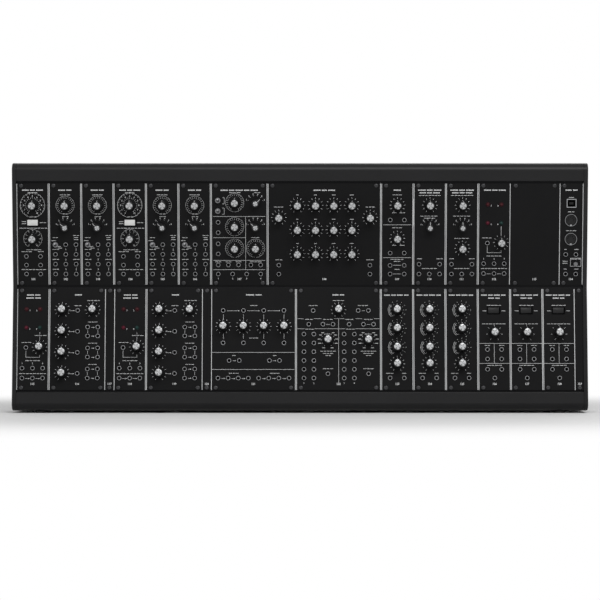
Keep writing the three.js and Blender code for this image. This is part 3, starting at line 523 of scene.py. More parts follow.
class Finish(Graph):
    """A procedural material: its constants go on the shader's own sockets, and its patterns are linked."""

    def __init__(self, name, **constants):
        self.material = bpy.data.materials.new(name)
        self.material.use_nodes = True
        super().__init__(self.material.node_tree)
        self.shader = self.tree.nodes["Principled BSDF"]
        for key, value in constants.items():
            self.shader.inputs[key.replace("_", " ").title().replace("Ior", "IOR")].default_value = value

    def place(self, scale=(1, 1, 1)):
        """The place on the piece in metres, stretched to a pattern's own scale."""
        spot = self.node("ShaderNodeTexCoord", output="Object")
        return self.node("ShaderNodeVectorMath", {"operation": "MULTIPLY"}, {0: spot, 1: scale})

    def axis(self, name, spot=None):
        return self.node("ShaderNodeSeparateXYZ", None, {0: spot or self.place()}, name)

    def noise(self, scale, detail=2.0, spot=None):
        values = {"Vector": spot or self.place(), "Scale": scale, "Detail": detail}
        return self.node("ShaderNodeTexNoise", None, values)

    def step(self, value, edge, softness):
        """0 below the edge and 1 over it, with a soft change between."""
        values = {0: value, 1: edge - softness, 2: edge + softness}
        return self.node("ShaderNodeMapRange", {"interpolation_type": "SMOOTHSTEP"}, values)

    def mix(self, mask, low, high):
        return self.node("ShaderNodeMix", {"data_type": "RGBA"}, {0: mask, 6: low, 7: high}, 2)

    def feed(self, socket, value):
        self.tree.links.new(value.socket, self.shader.inputs[socket])

    def tone(self, pattern, rgb, low, high, socket="Base Color"):
        """A colour that a pattern takes from one shade to another."""
        self.feed(socket, self.mix(pattern, shade(rgb, low), shade(rgb, high)))

    def gloss(self, pattern, roughness, spread):
        """A roughness that a pattern spreads round its middle."""
        self.feed("Roughness", pattern * spread + (roughness - spread / 2))

    def relief(self, height, distance, strength=1.0):
        values = {"Height": height, "Distance": distance, "Strength": strength}
        self.feed("Normal", self.node("ShaderNodeBump", None, values))


def painted(name, rgb, roughness, specular):
    """Powder coat or satin paint: a fine orange peel with slow changes of tone and gloss."""
    finish = Finish(name, specular_ior_level=specular)
    finish.tone(finish.noise(14.0, 3.0), rgb, 0.8, 1.2)
    finish.gloss(finish.noise(60.0), roughness, 0.12)
    finish.relief(finish.noise(1500.0), 0.03 * MM)
    return finish.material


def moulded(name, rgb, roughness, specular):
    """Moulded plastic: a faint spark texture and slight flow marks."""
    finish = Finish(name, specular_ior_level=specular)
    finish.tone(finish.noise(90.0), rgb, 0.85, 1.15)
    finish.gloss(finish.noise(700.0), roughness, 0.14)
    finish.relief(finish.noise(4000.0, 1.0), 0.01 * MM)
    return finish.material


def plated(name, rgb, roughness):
    """Nickel or chrome plate with light haze and handling marks."""
    finish = Finish(name, metallic=1.0)
    haze = finish.noise(350.0, 4.0)
    finish.tone(haze, rgb, 0.82, 1.12)
    finish.gloss(haze, roughness, 0.18)
    return finish.material


def spun(name, rgb):
    """A spun cap: fine turning rings in its roughness and relief, and a painted reflection in its colour, soft dark
    wedges with lighter sectors between them, standing in for how the rings catch broad light.
    """
    finish = Finish(name, metallic=0.85)
    across = finish.node("ShaderNodeUVMap", {"uv_map": "Cap"})
    x, y = finish.axis("X", across), finish.axis("Y", across)
    reflection_swirl = finish.noise(2.6, 2.0, across) * 2.4
    bearing = finish.math("ARCTAN2", y, x)
    painted_reflection = finish.math("ABSOLUTE", finish.math("SINE", bearing * 2.0 + reflection_swirl))
    # Painted reflection: the colour is darkened in swirled wedges round the middle and lightened between them
    finish.tone(1.0 - finish.step(painted_reflection, 0.4, 0.4), rgb, 1.22, 0.3)
    rings = finish.math("SINE", finish.math("SQRT", x * x + y * y) * 90.0)
    finish.feed("Roughness", rings * 0.05 + 0.3)
    finish.relief(rings, 0.02 * MM, 0.5)
    return finish.material


def printed(name, rgb):
    """Screen print: nearly even ink with slight thinning."""
    finish = Finish(name, specular_ior_level=0.2)
    finish.tone(finish.noise(900.0), rgb, 0.88, 1.08)
    finish.gloss(finish.noise(300.0), 0.55, 0.1)
    return finish.material


def brushed(name, rgb, roughness, stretch, metallic=0.9):
    """Bare or anodised metal with fine lines along its length."""
    finish = Finish(name, metallic=metallic)
    lines = finish.noise(700.0, 3.0, finish.place(stretch))
    finish.tone(lines, rgb, 0.75, 1.2)
    finish.gloss(lines, roughness, 0.16)
    finish.relief(lines, 0.01 * MM)
    return finish.material


def rubber(name, rgb):
    finish = Finish(name, specular_ior_level=0.25)
    finish.tone(finish.noise(40.0, 3.0), rgb, 0.75, 1.3)
    finish.gloss(finish.noise(200.0), 0.82, 0.12)
    finish.relief(finish.noise(1200.0), 0.06 * MM)
    return finish.material


def circuit(name, rgb):
    """Green lacquer over copper runs, and black over all that stands in front of it, such as its headers."""
    finish = Finish(name, specular_ior_level=0.4)
    runs = finish.math("SINE", finish.axis("Z") * 2400.0 + finish.noise(9.0) * 30.0)
    copper = finish.step(runs, 0.55, 0.1)
    lacquer = finish.mix(copper, (*rgb[:3], 1.0), shade(rgb, 2.1))
    board_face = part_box("bus_board")[1][1] - 7.75 * MM
    proud = 1.0 - finish.step(finish.axis("Y"), board_face, 0.1 * MM)
    finish.feed("Base Color", finish.mix(proud, lacquer, (0.012, 0.012, 0.013, 1.0)))
    finish.gloss(finish.noise(150.0), 0.42, 0.12)
    finish.relief(copper, 0.04 * MM)
    return finish.material


def lens(name, rgb, glow):
    """A dim diffused lamp, brighter in its middle grain."""
    finish = Finish(name, roughness=0.4, specular_ior_level=0.2, emission_strength=glow)
    grain = finish.noise(500.0)
    finish.tone(grain, rgb, 0.5, 0.8)
    finish.tone(grain, rgb, 0.8, 1.0, "Emission Color")
    return finish.material


FINISHES = {
    "case": lambda: painted("Black powder coat", colours().case, 0.33, 0.15),
    "panel": lambda: painted("Panel satin paint", colours().panel, 0.55, 0.07),
    "mark": lambda: printed("Panel print", colours().mark),
    "stripe": lambda: brushed("Panel bare edge", colours().stripe, 0.5, (1.0, 1.0, 0.03), 0.25),
    "knob": lambda: moulded("Knob plastic", colours().knob, 0.42, 0.2),
    "cap": lambda: spun("Spun knob cap", colours().cap),
    "nickel": lambda: plated("Ring nut nickel", colours().nickel, 0.34),
    "chrome": lambda: plated("Toggle chrome", (0.34, 0.34, 0.35), 0.36),
    "white_rocker": lambda: moulded("White rocker plastic", colours().white_rocker, 0.4, 0.35),
    "dark_rocker": lambda: moulded("Dark rocker plastic", colours().dark_rocker, 0.4, 0.22),
    "button": lambda: moulded("Button plastic", (0.155, 0.155, 0.16), 0.4, 0.3),
    "insert": lambda: moulded("Connector insert", (0.0085, 0.0085, 0.009), 0.5, 0.2),
    "body": lambda: moulded("Black connector plastic", (0.003, 0.003, 0.0033), 0.6, 0.06),
    "screw": lambda: plated("Blackened screw", (0.05, 0.05, 0.052), 0.3),
    # The unlit red lamps still get a faint glow: painted light in their lenses
    "dim_red": lambda: lens("Unlit red lamp", (0.06, 0.005, 0.008), 0.06),
    "red_rim": lambda: moulded("Red lamp rim", (0.016, 0.003, 0.005), 0.5, 0.12),
    "green_rim": lambda: moulded("Green lamp rim", (0.003, 0.008, 0.0075), 0.5, 0.12),
    "red": lambda: lens("Red lamp", (0.08, 0.003, 0.014), 0.3),
    "green": lambda: lens("Green lamp", (0.008, 0.038, 0.033), 0.1),
    "board": lambda: circuit("Circuit board", colours().board),
    # The rails are black anodised, and their colour is darkened further as painted shade in the seam between the rows
    # and under the lips
    "rail": lambda: brushed("Anodised rail", (0.007, 0.007, 0.0075), 0.42, (0.02, 1.0, 1.0)),
    "rubber": lambda: rubber("Foot rubber", (0.008, 0.008, 0.008)),
}
made_finishes = {}


def finish_of(key):
    if key not in made_finishes:
        made_finishes[key] = FINISHES[key]()
    return made_finishes[key]


def smoothed(mesh, degrees=38):
    mesh.shade_smooth()
    mesh.set_sharp_from_angle(angle=math.radians(degrees))
    return mesh


class Form:
    """Closed bodies side by side, each in one finish."""

    def __init__(self):
        self.points = []
        self.faces = []
        self.marks = []

    def add(self, points, faces, finish):
        first = len(self.points)
        self.points += [Vector(point) for point in points]
        self.faces += [[first + i for i in face] for face in faces]
        self.marks += [finish] * len(faces)
        return self

    def turned(self, profile, sides, finish, closed=False, flute=None):
        """A body turned about Z from pairs of radius and height. A flute is (count, depth, low, high)."""
        points, rings = [], []
        for radius, height in profile:
            if radius == 0:
                rings.append([len(points)] * sides)
                points.append((0.0, 0.0, height))
                continue
            rings.append(range(len(points), len(points) + sides))
            for i in range(sides):
                turn = 2 * math.pi * i / sides
                reach = radius
                if flute and flute[2] <= height <= flute[3]:
                    reach -= flute[1] * (0.5 + 0.5 * math.cos(flute[0] * turn)) ** 2
                points.append((reach * math.sin(turn), reach * math.cos(turn), height))
        faces = []
        for low, high in zip(rings, [*rings[1:], rings[0]] if closed else rings[1:]):
            for i in range(sides):
                j = (i + 1) % sides
                corners = list(dict.fromkeys((low[i], high[i], high[j], low[j])))
                if len(corners) > 2:
                    faces.append(corners)
        return self.add(points, faces, finish)

    def prism(self, outline, low, high, finish):
        """An outline in (x, y) given a height."""
        count = len(outline)
        points = [(x, y, z) for z in (low, high) for x, y in outline]
        sides = [(i, (i + 1) % count, (i + 1) % count + count, i + count) for i in range(count)]
        caps = [tuple(reversed(range(count))), tuple(range(count, 2 * count))]
        return self.add(points, sides + caps, finish)

    def box(self, x, y, z, finish):
        return self.prism([(x[0], y[0]), (x[1], y[0]), (x[1], y[1]), (x[0], y[1])], z[0], z[1], finish)

    def block(self, half_width, half_height, z, finish):
        """A box round the middle, from millimetres."""
        x, y = half_width * MM, half_height * MM
        return self.box((-x, x), (-y, y), (z[0] * MM, z[1] * MM), finish)

    def moved(self, matrix):
        self.points = [matrix @ point for point in self.points]
        return self

    def plus(self, other):
        first = len(self.points)
        self.points += other.points
        self.faces += [[first + i for i in face] for face in other.faces]
        self.marks += other.marks
        return self

    def mesh(self, name, bevel=0.0, steps=2):
        """The form as a mesh, its normals pointing out and its sharp edges eased."""
        mesh = bpy.data.meshes.new(name)
        mesh.from_pydata(self.points, [], self.faces)
        keys = list(dict.fromkeys(self.marks))
        for key in keys:
            mesh.materials.append(finish_of(key))
        for polygon, mark in zip(mesh.polygons, self.marks):
            polygon.material_index = keys.index(mark)
        form = bmesh.new()
        form.from_mesh(mesh)
        bmesh.ops.recalc_face_normals(form, faces=form.faces)
        if bevel:
            sharp = [edge for edge in form.edges if edge.calc_face_angle(0.0) > math.radians(35)]
            bmesh.ops.bevel(form, geom=sharp, offset=bevel, segments=steps, profile=0.5, affect="EDGES")
        form.to_mesh(mesh)
        form.free()
        return smoothed(mesh)


def polygon(radius, sides):
    turns = [2 * math.pi * i / sides for i in range(sides)]
    return [(radius * math.cos(turn), radius * math.sin(turn)) for turn in turns]


def arc(centre, radius, start, end, steps):
    turns = [math.radians(start + (end - start) * i / steps) for i in range(steps + 1)]
    return [(centre[0] + radius * math.cos(turn), centre[1] + radius * math.sin(turn)) for turn in turns]


def rectangle(width, height, centre=(0.0, 0.0)):
    signs = ((-0.5, -0.5), (0.5, -0.5), (0.5, 0.5), (-0.5, 0.5))
    return [(centre[0] + width * x, centre[1] + height * y) for x, y in signs]


def moved_outline(outline, x, y):
    return [(x + a, y + b) for a, b in outline]


def plate(outline, holes, low, high, finish, edge=0.0):
    """A flat piece with holes, given by their outlines, as a filled curve with eased edges."""
    curve = bpy.data.curves.new("plate", "CURVE")
    curve.dimensions = "2D"
    curve.fill_mode = "BOTH"
    for loop in [outline] + [hole[::-1] for hole in holes]:
        spline = curve.splines.new("POLY")
        spline.points.add(len(loop) - 1)
        for point, (x, y) in zip(spline.points, loop):
            point.co = (x, y, 0.0, 1.0)
        spline.use_cyclic_u = True
    curve.extrude = (high - low) / 2 - edge
    curve.bevel_depth = edge
    curve.offset = -edge
    curve.bevel_resolution = 1
    mesh = settled(placed("plate", curve))
    bpy.data.curves.remove(curve)
    form = Form().add([v.co for v in mesh.vertices], [tuple(p.vertices) for p in mesh.polygons], finish)
    bpy.data.meshes.remove(mesh)
    return form.moved(shift(0, 0, (low + high) / 2))


def fused(name, meshes):
    """Several meshes as one, each with its own finishes."""
    whole = bmesh.new()
    materials = []
    for mesh in meshes:
        first = len(whole.faces)
        whole.from_mesh(mesh)
        whole.faces.ensure_lookup_table()
        for material in mesh.materials:
            if material not in materials:
                materials.append(material)
        order = [materials.index(material) for material in mesh.materials]
        for face in whole.faces[first:]:
            face.material_index = order[face.material_index]
        bpy.data.meshes.remove(mesh)
    result = bpy.data.meshes.new(name)
    whole.to_mesh(result)
    whole.free()
    for material in materials:
        result.materials.append(material)
    return result


def piece(name, mesh, body, slot, *nodes):
    """A finished piece at the origin: what it rides on, and the nodes that it stands for, which it hides. Its slot is
    not used.
    """
    mesh.name = name
    item = placed(name, mesh)
    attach(item, body)
    if nodes:
        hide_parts(*nodes)


def dress(node, finish):
    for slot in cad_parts[node].material_slots:
        slot.material = finish_of(finish)


class Growth(Graph):
    """A geometry tree on a cloud of places, whose attribute turn holds how each one is turned."""

    def __init__(self, name, inputs):
        """Inputs are names with their defaults, or with their kind where they have none."""
        tree = bpy.data.node_groups.new(name, "GeometryNodeTree")
        super().__init__(tree)
        for key, default in {"Places": "Geometry", **inputs, "Material": "Material"}.items():
            kind = default if isinstance(default, str) else {int: "Int", float: "Float"}[type(default)]
            socket = tree.interface.new_socket(key, in_out="INPUT", socket_type="NodeSocket" + kind)
            if kind != default:
                socket.default_value = default
        tree.interface.new_socket("Pieces", in_out="OUTPUT", socket_type="NodeSocketGeometry")

    def input(self, name):
        return self.node("NodeGroupInput", output=name)

    def attribute(self, name, kind="FLOAT_VECTOR"):
        return self.node("GeometryNodeInputNamedAttribute", {"data_type": kind}, {"Name": name})

    def lifted(self, geometry, height):
        move = self.vector(0.0, 0.0, height)
        return self.node("GeometryNodeTransform", None, {"Geometry": geometry, "Translation": move})

    def rotation(self, euler):
        return self.node("FunctionNodeEulerToRotation", None, {0: euler})

    def close(self, instance, **values):
        """Sets the pieces out on the places, makes them real and gives them their material."""
        values = {key.replace("_", " "): value for key, value in values.items()}
        values.update({"Points": self.input("Places"), "Rotation": self.rotation(self.attribute("turn"))})
        spread = self.node("GeometryNodeInstanceOnPoints", None, {"Instance": instance, **values})
        real = self.node("GeometryNodeRealizeInstances", None, {0: spread})
        done = self.node("GeometryNodeSetMaterial", None, {"Geometry": real, "Material": self.input("Material")})
        out = self.tree.nodes.new("NodeGroupOutput")
        self.tree.links.new(done.socket, out.inputs[0])
        return self.tree


def parts_tree():
    """Sets out copies of the parts in a collection. The attribute pick says which one stands where."""
    growth = Growth("Set out parts", {"Parts": "Collection", "Size": 1.0})
    values = {"Collection": growth.input("Parts"), "Separate Children": True, "Reset Children": True}
    parts = growth.node("GeometryNodeCollectionInfo", None, values)
    pick = growth.attribute("pick", "INT")
    size = growth.input("Size")
    return growth.close(parts, Pick_Instance=True, Instance_Index=pick, Scale=growth.vector(size, size, size))


def rings_tree():
    """Sets out flat rings, such as ring nuts and the rims of lamps."""
    inputs = {"Inner Radius": 2 * MM, "Outer Radius": 3 * MM, "Base": 0.0, "Height": 1 * MM, "Sides": 16}
    growth = Growth("Set out rings", inputs)
    inner, outer, height = growth.input("Inner Radius"), growth.input("Outer Radius"), growth.input("Height")
    values = {"Resolution": growth.input("Sides"), "Radius": (inner + outer) / 2.0}
    circle = growth.node("GeometryNodeCurvePrimitiveCircle", None, values)
    section = growth.node("GeometryNodeCurvePrimitiveQuadrilateral", None, {0: outer - inner, 1: height})
    ring = growth.node("GeometryNodeCurveToMesh", None, {"Curve": circle, "Profile Curve": section})
    return growth.close(growth.lifted(ring, growth.input("Base") + height / 2.0))


FULL_SWEEP = math.radians(300)


def ticks_tree():
    """Sets out dials of straight ticks over a sweep."""
    lengths = {"Radius": 9 * MM, "Length": 1 * MM, "Width": 0.2 * MM, "Depth": 0.03 * MM}
    growth = Growth("Set out dial ticks", {"Count": 11, "Sweep": FULL_SWEEP, **lengths})
    count, sweep, depth = growth.input("Count"), growth.input("Sweep"), growth.input("Depth")
    line = growth.node("GeometryNodeMeshLine", None, {"Count": count, "Offset": (0.0, 0.0, 0.0)})
    bearing = growth.node("GeometryNodeInputIndex") * (sweep / (count - 1.0)) - sweep / 2.0
    radius = growth.input("Radius")
    spot = growth.vector(growth.math("SINE", bearing) * radius, growth.math("COSINE", bearing) * radius, depth / 2.0)
    spots = growth.node("GeometryNodeSetPosition", None, {"Geometry": line, "Position": spot})
    size = growth.vector(growth.input("Width"), growth.input("Length"), depth)
    tick = growth.node("GeometryNodeMeshCube", None, {"Size": size})
    turn = growth.rotation(growth.vector(0.0, 0.0, 0.0 - bearing))
    values = {"Points": spots, "Instance": tick, "Rotation": turn}
    return growth.close(growth.node("GeometryNodeInstanceOnPoints", None, values))


def arcs_tree():
    """Sets out arcs round their places, turned from the top."""
    lengths = {"Radius": 11.5 * MM, "Width": 0.3 * MM, "Depth": 0.03 * MM}
    growth = Growth("Set out dial arcs", {"Sweep": FULL_SWEEP, "Turn": 0.0, **lengths})
    sweep = growth.input("Sweep")
    start = math.pi / 2 - growth.input("Turn") - sweep / 2.0
    values = {"Resolution": 48, "Radius": growth.input("Radius"), "Start Angle": start, "Sweep Angle": sweep}
    curve = growth.node("GeometryNodeCurveArc", {"mode": "RADIUS"}, values)
    sides = {0: growth.input("Width"), 1: growth.input("Depth") * 2.0}
    section = growth.node("GeometryNodeCurvePrimitiveQuadrilateral", None, sides)
    values = {"Curve": curve, "Profile Curve": section, "Fill Caps": True}
    return growth.close(growth.node("GeometryNodeCurveToMesh", None, values))


def bars_tree():
    """Sets out flat bars. The attribute extent holds each one's width, height and depth."""
    growth = Growth("Set out bars", {"Lift": 0.0})
    bar = growth.node("GeometryNodeMeshCube", None, {"Size": (1.0, 1.0, 1.0)})
    return growth.close(growth.lifted(bar, growth.input("Lift")), Scale=growth.attribute("extent"))


TREES = {"parts": parts_tree, "rings": rings_tree, "ticks": ticks_tree, "arcs": arcs_tree, "bars": bars_tree}
made_trees = {}


def grown(tree, places, finish, inputs, columns=None):
    """The plain mesh that a tree grows on these places, each a matrix. Columns are more attributes."""
    if tree not in made_trees:
        made_trees[tree] = TREES[tree]()
    cloud = bpy.data.meshes.new(tree)
    cloud.from_pydata([place.translation for place in places], [], [])
    columns = {"turn": [tuple(place.to_euler()) for place in places], **(columns or {})}
    for key, rows in columns.items():
        whole = isinstance(rows[0], int)
        attribute = cloud.attributes.new(key, "INT" if whole else "FLOAT_VECTOR", "POINT")
        flat = rows if whole else [number for row in rows for number in row]
        attribute.data.foreach_set("value" if whole else "vector", flat)
    source = placed(tree, cloud)
    modifier = source.modifiers.new(tree, "NODES")
    modifier.node_group = made_trees[tree]
    inputs = {**inputs, "Material": finish_of(finish)}
    for item in made_trees[tree].interface.items_tree:
        if item.in_out == "INPUT" and item.name in inputs:
            modifier[item.identifier] = inputs[item.name]
    mesh = settled(source)
    if not mesh.polygons:
        raise RuntimeError(f"the tree {tree} grew nothing in the finish {finish}")
    return smoothed(mesh)


def copies(meshes, places, finish, size=1.0, picks=None):
    """Copies of a mesh on these places, or of several that the picks choose from."""
    group = bpy.data.collections.new("parts")
    holders = [bpy.data.objects.new(f"part_{i}", mesh) for i, mesh in enumerate(meshes)]
    for holder in holders:
        group.objects.link(holder)
    picks = picks or [0] * len(places)
    mesh = grown("parts", places, finish, {"Parts": group, "Size": size}, {"pick": picks})
    for holder in holders:
        bpy.data.objects.remove(holder)
    bpy.data.collections.remove(group)
    return mesh


def set_out(name, mesh, places, finish, slot):
    """A piece fixed to the case, of copies of a mesh."""
    piece(name, copies([mesh], places, finish), "case", slot)


def rings(places, finish, inner, outer, base, height, sides):
    """Flat rings on these places."""
    inputs = {"Inner Radius": inner, "Outer Radius": outer, "Base": base, "Height": height, "Sides": sides}
    return grown("rings", places, finish, inputs)


def row_matrix(row):
    """A row's frame: X along the row, Y up the panels and Z out of their faces."""
    s = sizes()
    if row == "top_row":
        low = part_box("wide_blank_panel")[0]
        return shift(0, low[1] + s.panel_height * math.sin(s.row_tilt), low[2]) @ spin(math.pi / 2 + s.row_tilt, "X")
    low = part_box("narrow_blank_panel_1")[0]
    return shift(0, low[1], low[2] + s.panel_thickness * math.sin(s.row_tilt)) @ spin(math.pi / 2 - s.row_tilt, "X")


class Module:
    """One module's place in its row, and its shares turned to places."""

    def __init__(self, row, number, name, kind, *nodes):
        low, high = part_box(name)
        self.name, self.kind, self.number = name, kind, number
        self.live = {node.split("_")[-1]: node for node in nodes}
        self.width = high[0] - low[0]
        self.frame = row_matrix(row) @ shift(low[0], 0, 0)

    def spot(self, across, down):
        return across * self.width, (1 - down) * sizes().panel_height

    def at(self, across, down, turn=0.0):
        return self.frame @ shift(*self.spot(across, down), 0) @ spin(turn, "Z")

    def shares(self, key):
        return KINDS[self.kind].get(key, [])

    def sockets(self):
        return [(across, down) for downs, acrosses in self.shares("socket") for down in downs for across in acrosses]

    def controls(self, key):
        """Each control's place with the node that it moves as, or None where it is fixed."""
        found = []
        for i, (across, down, *more) in enumerate(self.shares(key)):
            turn = math.radians(more[0]) if key == "selector" else 0.0
            found.append((self.at(across, down, turn), None if i else self.live.get(key)))
        return found


def modules(row):
    first = 1 if row == "top_row" else len(ROWS["top_row"]) + 1
    return [Module(row, first + i, *entry) for i, entry in enumerate(ROWS[row])]


def spots(row, key):
    """The places of all of a row's controls of one sort, none of them turned."""
    return [module.at(*shares[:2]) for module in modules(row) for shares in module.shares(key)]


def fixed_places(row, key):
    return [place for module in modules(row) for place, node in module.controls(key) if not node]


def dress_live(row, key, meshes, slot):
    """A piece in the place of each control of one sort that moves, of copies of these meshes."""
    for module in modules(row):
        for place, node in module.controls(key):
            if node:
                whole = fused(node, [mesh.copy() for mesh in meshes])
                whole.transform(place)
                piece(node + "_dressed", whole, node, slot, node)


# Knobs and selectors stand this far off their panel, and are hollow round the bush that they turn on. Their
# caps lie in a recess this deep, with a gap round them.
LIFT, HOLLOW_RADIUS, HOLLOW_ROOF = 0.4 * MM, 3.85 * MM, 5.35 * MM
CAP_RECESS, CAP_GAP = 0.25 * MM, 0.05 * MM


def knob_body():
    """A round knob on its skirt, with a fluted grip and a ridge that points."""
    s = sizes()
    foot, waist, crown, top = s.knob_foot, s.knob_waist, s.knob_crown, s.knob_height
    seat = s.cap_radius + CAP_GAP
    profile = [
        (0, HOLLOW_ROOF), (HOLLOW_RADIUS, HOLLOW_ROOF), (HOLLOW_RADIUS, LIFT), (foot - 0.2 * MM, LIFT),
        (foot, 0.6 * MM), (foot, 1.1 * MM), (foot - 0.3 * MM, 1.5 * MM), (waist + 0.1 * MM, 2.6 * MM),
        (waist - 0.05 * MM, 3.3 * MM), (waist - 0.1 * MM, 4 * MM), (crown + 0.1 * MM, top - 1.5 * MM),
        (crown, top - 0.7 * MM), (crown - 0.15 * MM, top - 0.2 * MM), (crown - 0.35 * MM, top - 0.02 * MM),
        (seat, top - 0.02 * MM), (seat, top - CAP_RECESS), (0, top - CAP_RECESS),
    ]
    flute = (s.knob_flutes, 0.5 * MM, 3.9 * MM, top - 1.4 * MM)
    form = Form().turned(profile, 48, "knob", flute=flute)
    inner, outer = crown - 1.2 * MM, waist + 0.2 * MM
    ridge = [(-0.7 * MM, inner), (0.7 * MM, inner), (0.5 * MM, outer), (-0.5 * MM, outer)]
    return form.prism(ridge, 1.9 * MM, top - 0.75 * MM, "knob")


def knob_line():
    """The white line on a knob's ridge and skirt."""
    s = sizes()
    sides, break_height = (-0.25 * MM, 0.25 * MM), 13 * MM
    form = Form().box(sides, (s.knob_waist - 0.3 * MM, s.knob_waist + 0.27 * MM), (3 * MM, break_height), "mark")
    reach = (s.cap_radius + 0.1 * MM, s.knob_waist + 0.1 * MM)
    return form.box(sides, reach, (break_height, break_height + 0.3 * MM), "mark")


def cap_mesh(radius, top):
    """A spun cap with a slight dish and its own map across, for the turning rings and the painted reflection on them.
    """
    profile = [(0, top - 0.24 * MM), (radius, top - 0.24 * MM), (radius, top - 0.08 * MM)]
    profile += [(radius - 0.15 * MM, top - 0.01 * MM), (radius * 0.6, top - 0.06 * MM), (0, top - 0.1 * MM)]
    mesh = Form().turned(profile, 24, "cap").mesh("cap")
    across = mesh.uv_layers.new(name="Cap")
    for loop in mesh.loops:
        spot = mesh.vertices[loop.vertex_index].co
        across.data[loop.index].uv = (spot.x / radius, spot.y / radius)
    return mesh


def selector_body():
    s = sizes()
    beak_start = math.degrees(math.asin(0.62))
    outline = arc((0, 0), s.selector_radius, 180 - beak_start, 360 + beak_start, 26)
    outline += [(0.8 * MM, s.selector_tip), (-0.8 * MM, s.selector_tip)]
    top, seat = s.selector_height, s.selector_cap + CAP_GAP
    form = Form().prism(outline, HOLLOW_ROOF, top - 0.45 * MM, "knob")
    form.plus(plate(outline, [polygon(HOLLOW_RADIUS, 24)], LIFT, HOLLOW_ROOF, "knob"))
    crown = [
        (0, top - 0.5 * MM), (seat + 0.55 * MM, top - 0.5 * MM), (seat + 0.4 * MM, top - 0.1 * MM),
        (seat, top - 0.02 * MM), (seat, top - CAP_RECESS), (0, top - CAP_RECESS),
    ]
    return form.turned(crown, 32, "knob")


def selector_line():
    s = sizes()
    reach = (s.selector_cap + 0.7 * MM, s.selector_tip - 1.1 * MM)
    heights = (s.selector_height - 0.55 * MM, s.selector_height - 0.4 * MM)
    return Form().box((-0.22 * MM, 0.22 * MM), reach, heights, "mark")


def toggle_bat():
    """A bat about its pivot, leaning up."""
    profile = [
        (0, -1.5), (1.0, -1.2), (1.45, -0.4), (1.45, 0.3), (1.0, 1.1), (0.9, 1.7), (1.1, 4.4), (1.5, 7.3), (1.5, 7.9),
        (1.15, 8.6), (0.6, 8.93), (0, 9),
    ]
    form = Form().turned(scaled(profile), 20, "chrome")
    return form.moved(shift(0, 0, 2.2 * MM) @ spin(-math.radians(12), "X"))


def toggle_seat():
    """The threaded bush with its knurled nut."""
    bore, bush = 2.0, 2.75
    thread = [(bush - (0.18 if i % 2 else 0.0), 1.5 + 0.3 * i) for i in range(9)]
    profile = [(bore, 0.2), (bore, 4.2), (bush - 0.3, 4.2), *thread[::-1], (bush - 0.2, -0.6), (bore, -0.6)]
    form = Form().turned(scaled(profile), 20, "chrome", closed=True)
    nut = scaled([(2.65, 0), (3.4, 0), (3.4, 1.1), (3.2, 1.4), (2.65, 1.4)])
    return form.turned(nut, 64, "chrome", closed=True, flute=(16, 0.14 * MM, 0.0, 1.2 * MM))


ROCKER_LENGTH, ROCKER_WIDTH, ROCKER_PIVOT = 13.4 * MM, 7.1 * MM, 1 * MM
ROCKER_TOP, ROCKER_DIP, ROCKER_EASE = 3.9 * MM, 0.9 * MM, 0.35 * MM
POCKET_LENGTH, POCKET_WIDTH, BEZEL_RISE = 15.75 * MM, 8.3 * MM, 0.5 * MM


def rocker_lean():
    """The paddle's own frame, pressed down on its left, from that of its bezel."""
    return shift(0, 0, -ROCKER_PIVOT) @ spin(-math.radians(7), "Y")


def rocker_top(x):
    """Height of a paddle's hollowed top at a distance from its middle, and its slope there."""
    half = ROCKER_LENGTH / 2
    return ROCKER_TOP - ROCKER_DIP * (1 - (x / half) ** 2), math.atan(2 * ROCKER_DIP * x / half**2)


def rocker_paddle(finish):
    """A paddle hollowed along its top, pressed down on its left."""
    half = ROCKER_LENGTH / 2
    section = [(0.8 * MM - half, -0.6 * MM), (half - 0.8 * MM, -0.6 * MM)]
    section += [(x, rocker_top(x)[0]) for x in [half * (1 - i / 6) for i in range(13)]]
    form = Form().prism(section, -ROCKER_WIDTH / 2, ROCKER_WIDTH / 2, finish)
    return form.moved(rocker_lean() @ spin(math.pi / 2, "X")).mesh("paddle", ROCKER_EASE)


def rocker_frame():
    """The bezel and the pocket that the paddle swings in."""
    rim = rectangle(POCKET_LENGTH + 1.2 * MM, POCKET_WIDTH + 1.2 * MM)
    form = plate(rim, [rectangle(POCKET_LENGTH, POCKET_WIDTH)], -3.6 * MM, BEZEL_RISE, "body", 0.12 * MM)
    return form.block(8.4, 4.7, (-4.4, -3.6), "body")


def screw_head():
    """A low head with a six-sided socket."""
    profile = [(0, 0), (2.75, 0), (2.75, 0.5), (2.4, 0.95), (1.65, 1.15), (1.5, 1.1), (1.5, 0.2), (0, 0.2)]
    flute = (6, 0.2 * MM, 1.08 * MM, 1.12 * MM)
    return Form().turned(scaled(profile), 12, "screw", flute=flute).mesh("head")


# Turns a section's (x, y) to a piece's (y, z), so that it is drawn out along X
ALONG_X = Matrix(((0, 0, 1, 0), (1, 0, 0, 0), (0, 1, 0, 0), (0, 0, 0, 1)))


def rail_form(row, edge, inward, left, right):
    """A rail behind the panel edges, with its nut channel. Its section is in millimetres from the edge."""
    face = sizes().panel_thickness + 0.3 * MM
    section = [
        (-2.8, 0), (1.4, 0), (1.4, 1.6), (0.3, 1.6), (0.3, 4.6), (5.7, 4.6), (5.7, 1.6), (4.6, 1.6), (4.6, 0),
        (7.5, 0), (7.5, 9), (-2.8, 9),
    ]
    outline = [(edge + inward * along, -(face + depth)) for along, depth in scaled(section)]
    return Form().prism(outline, left + 0.3 * MM, right - 0.3 * MM, "rail").moved(row_matrix(row) @ ALONG_X)


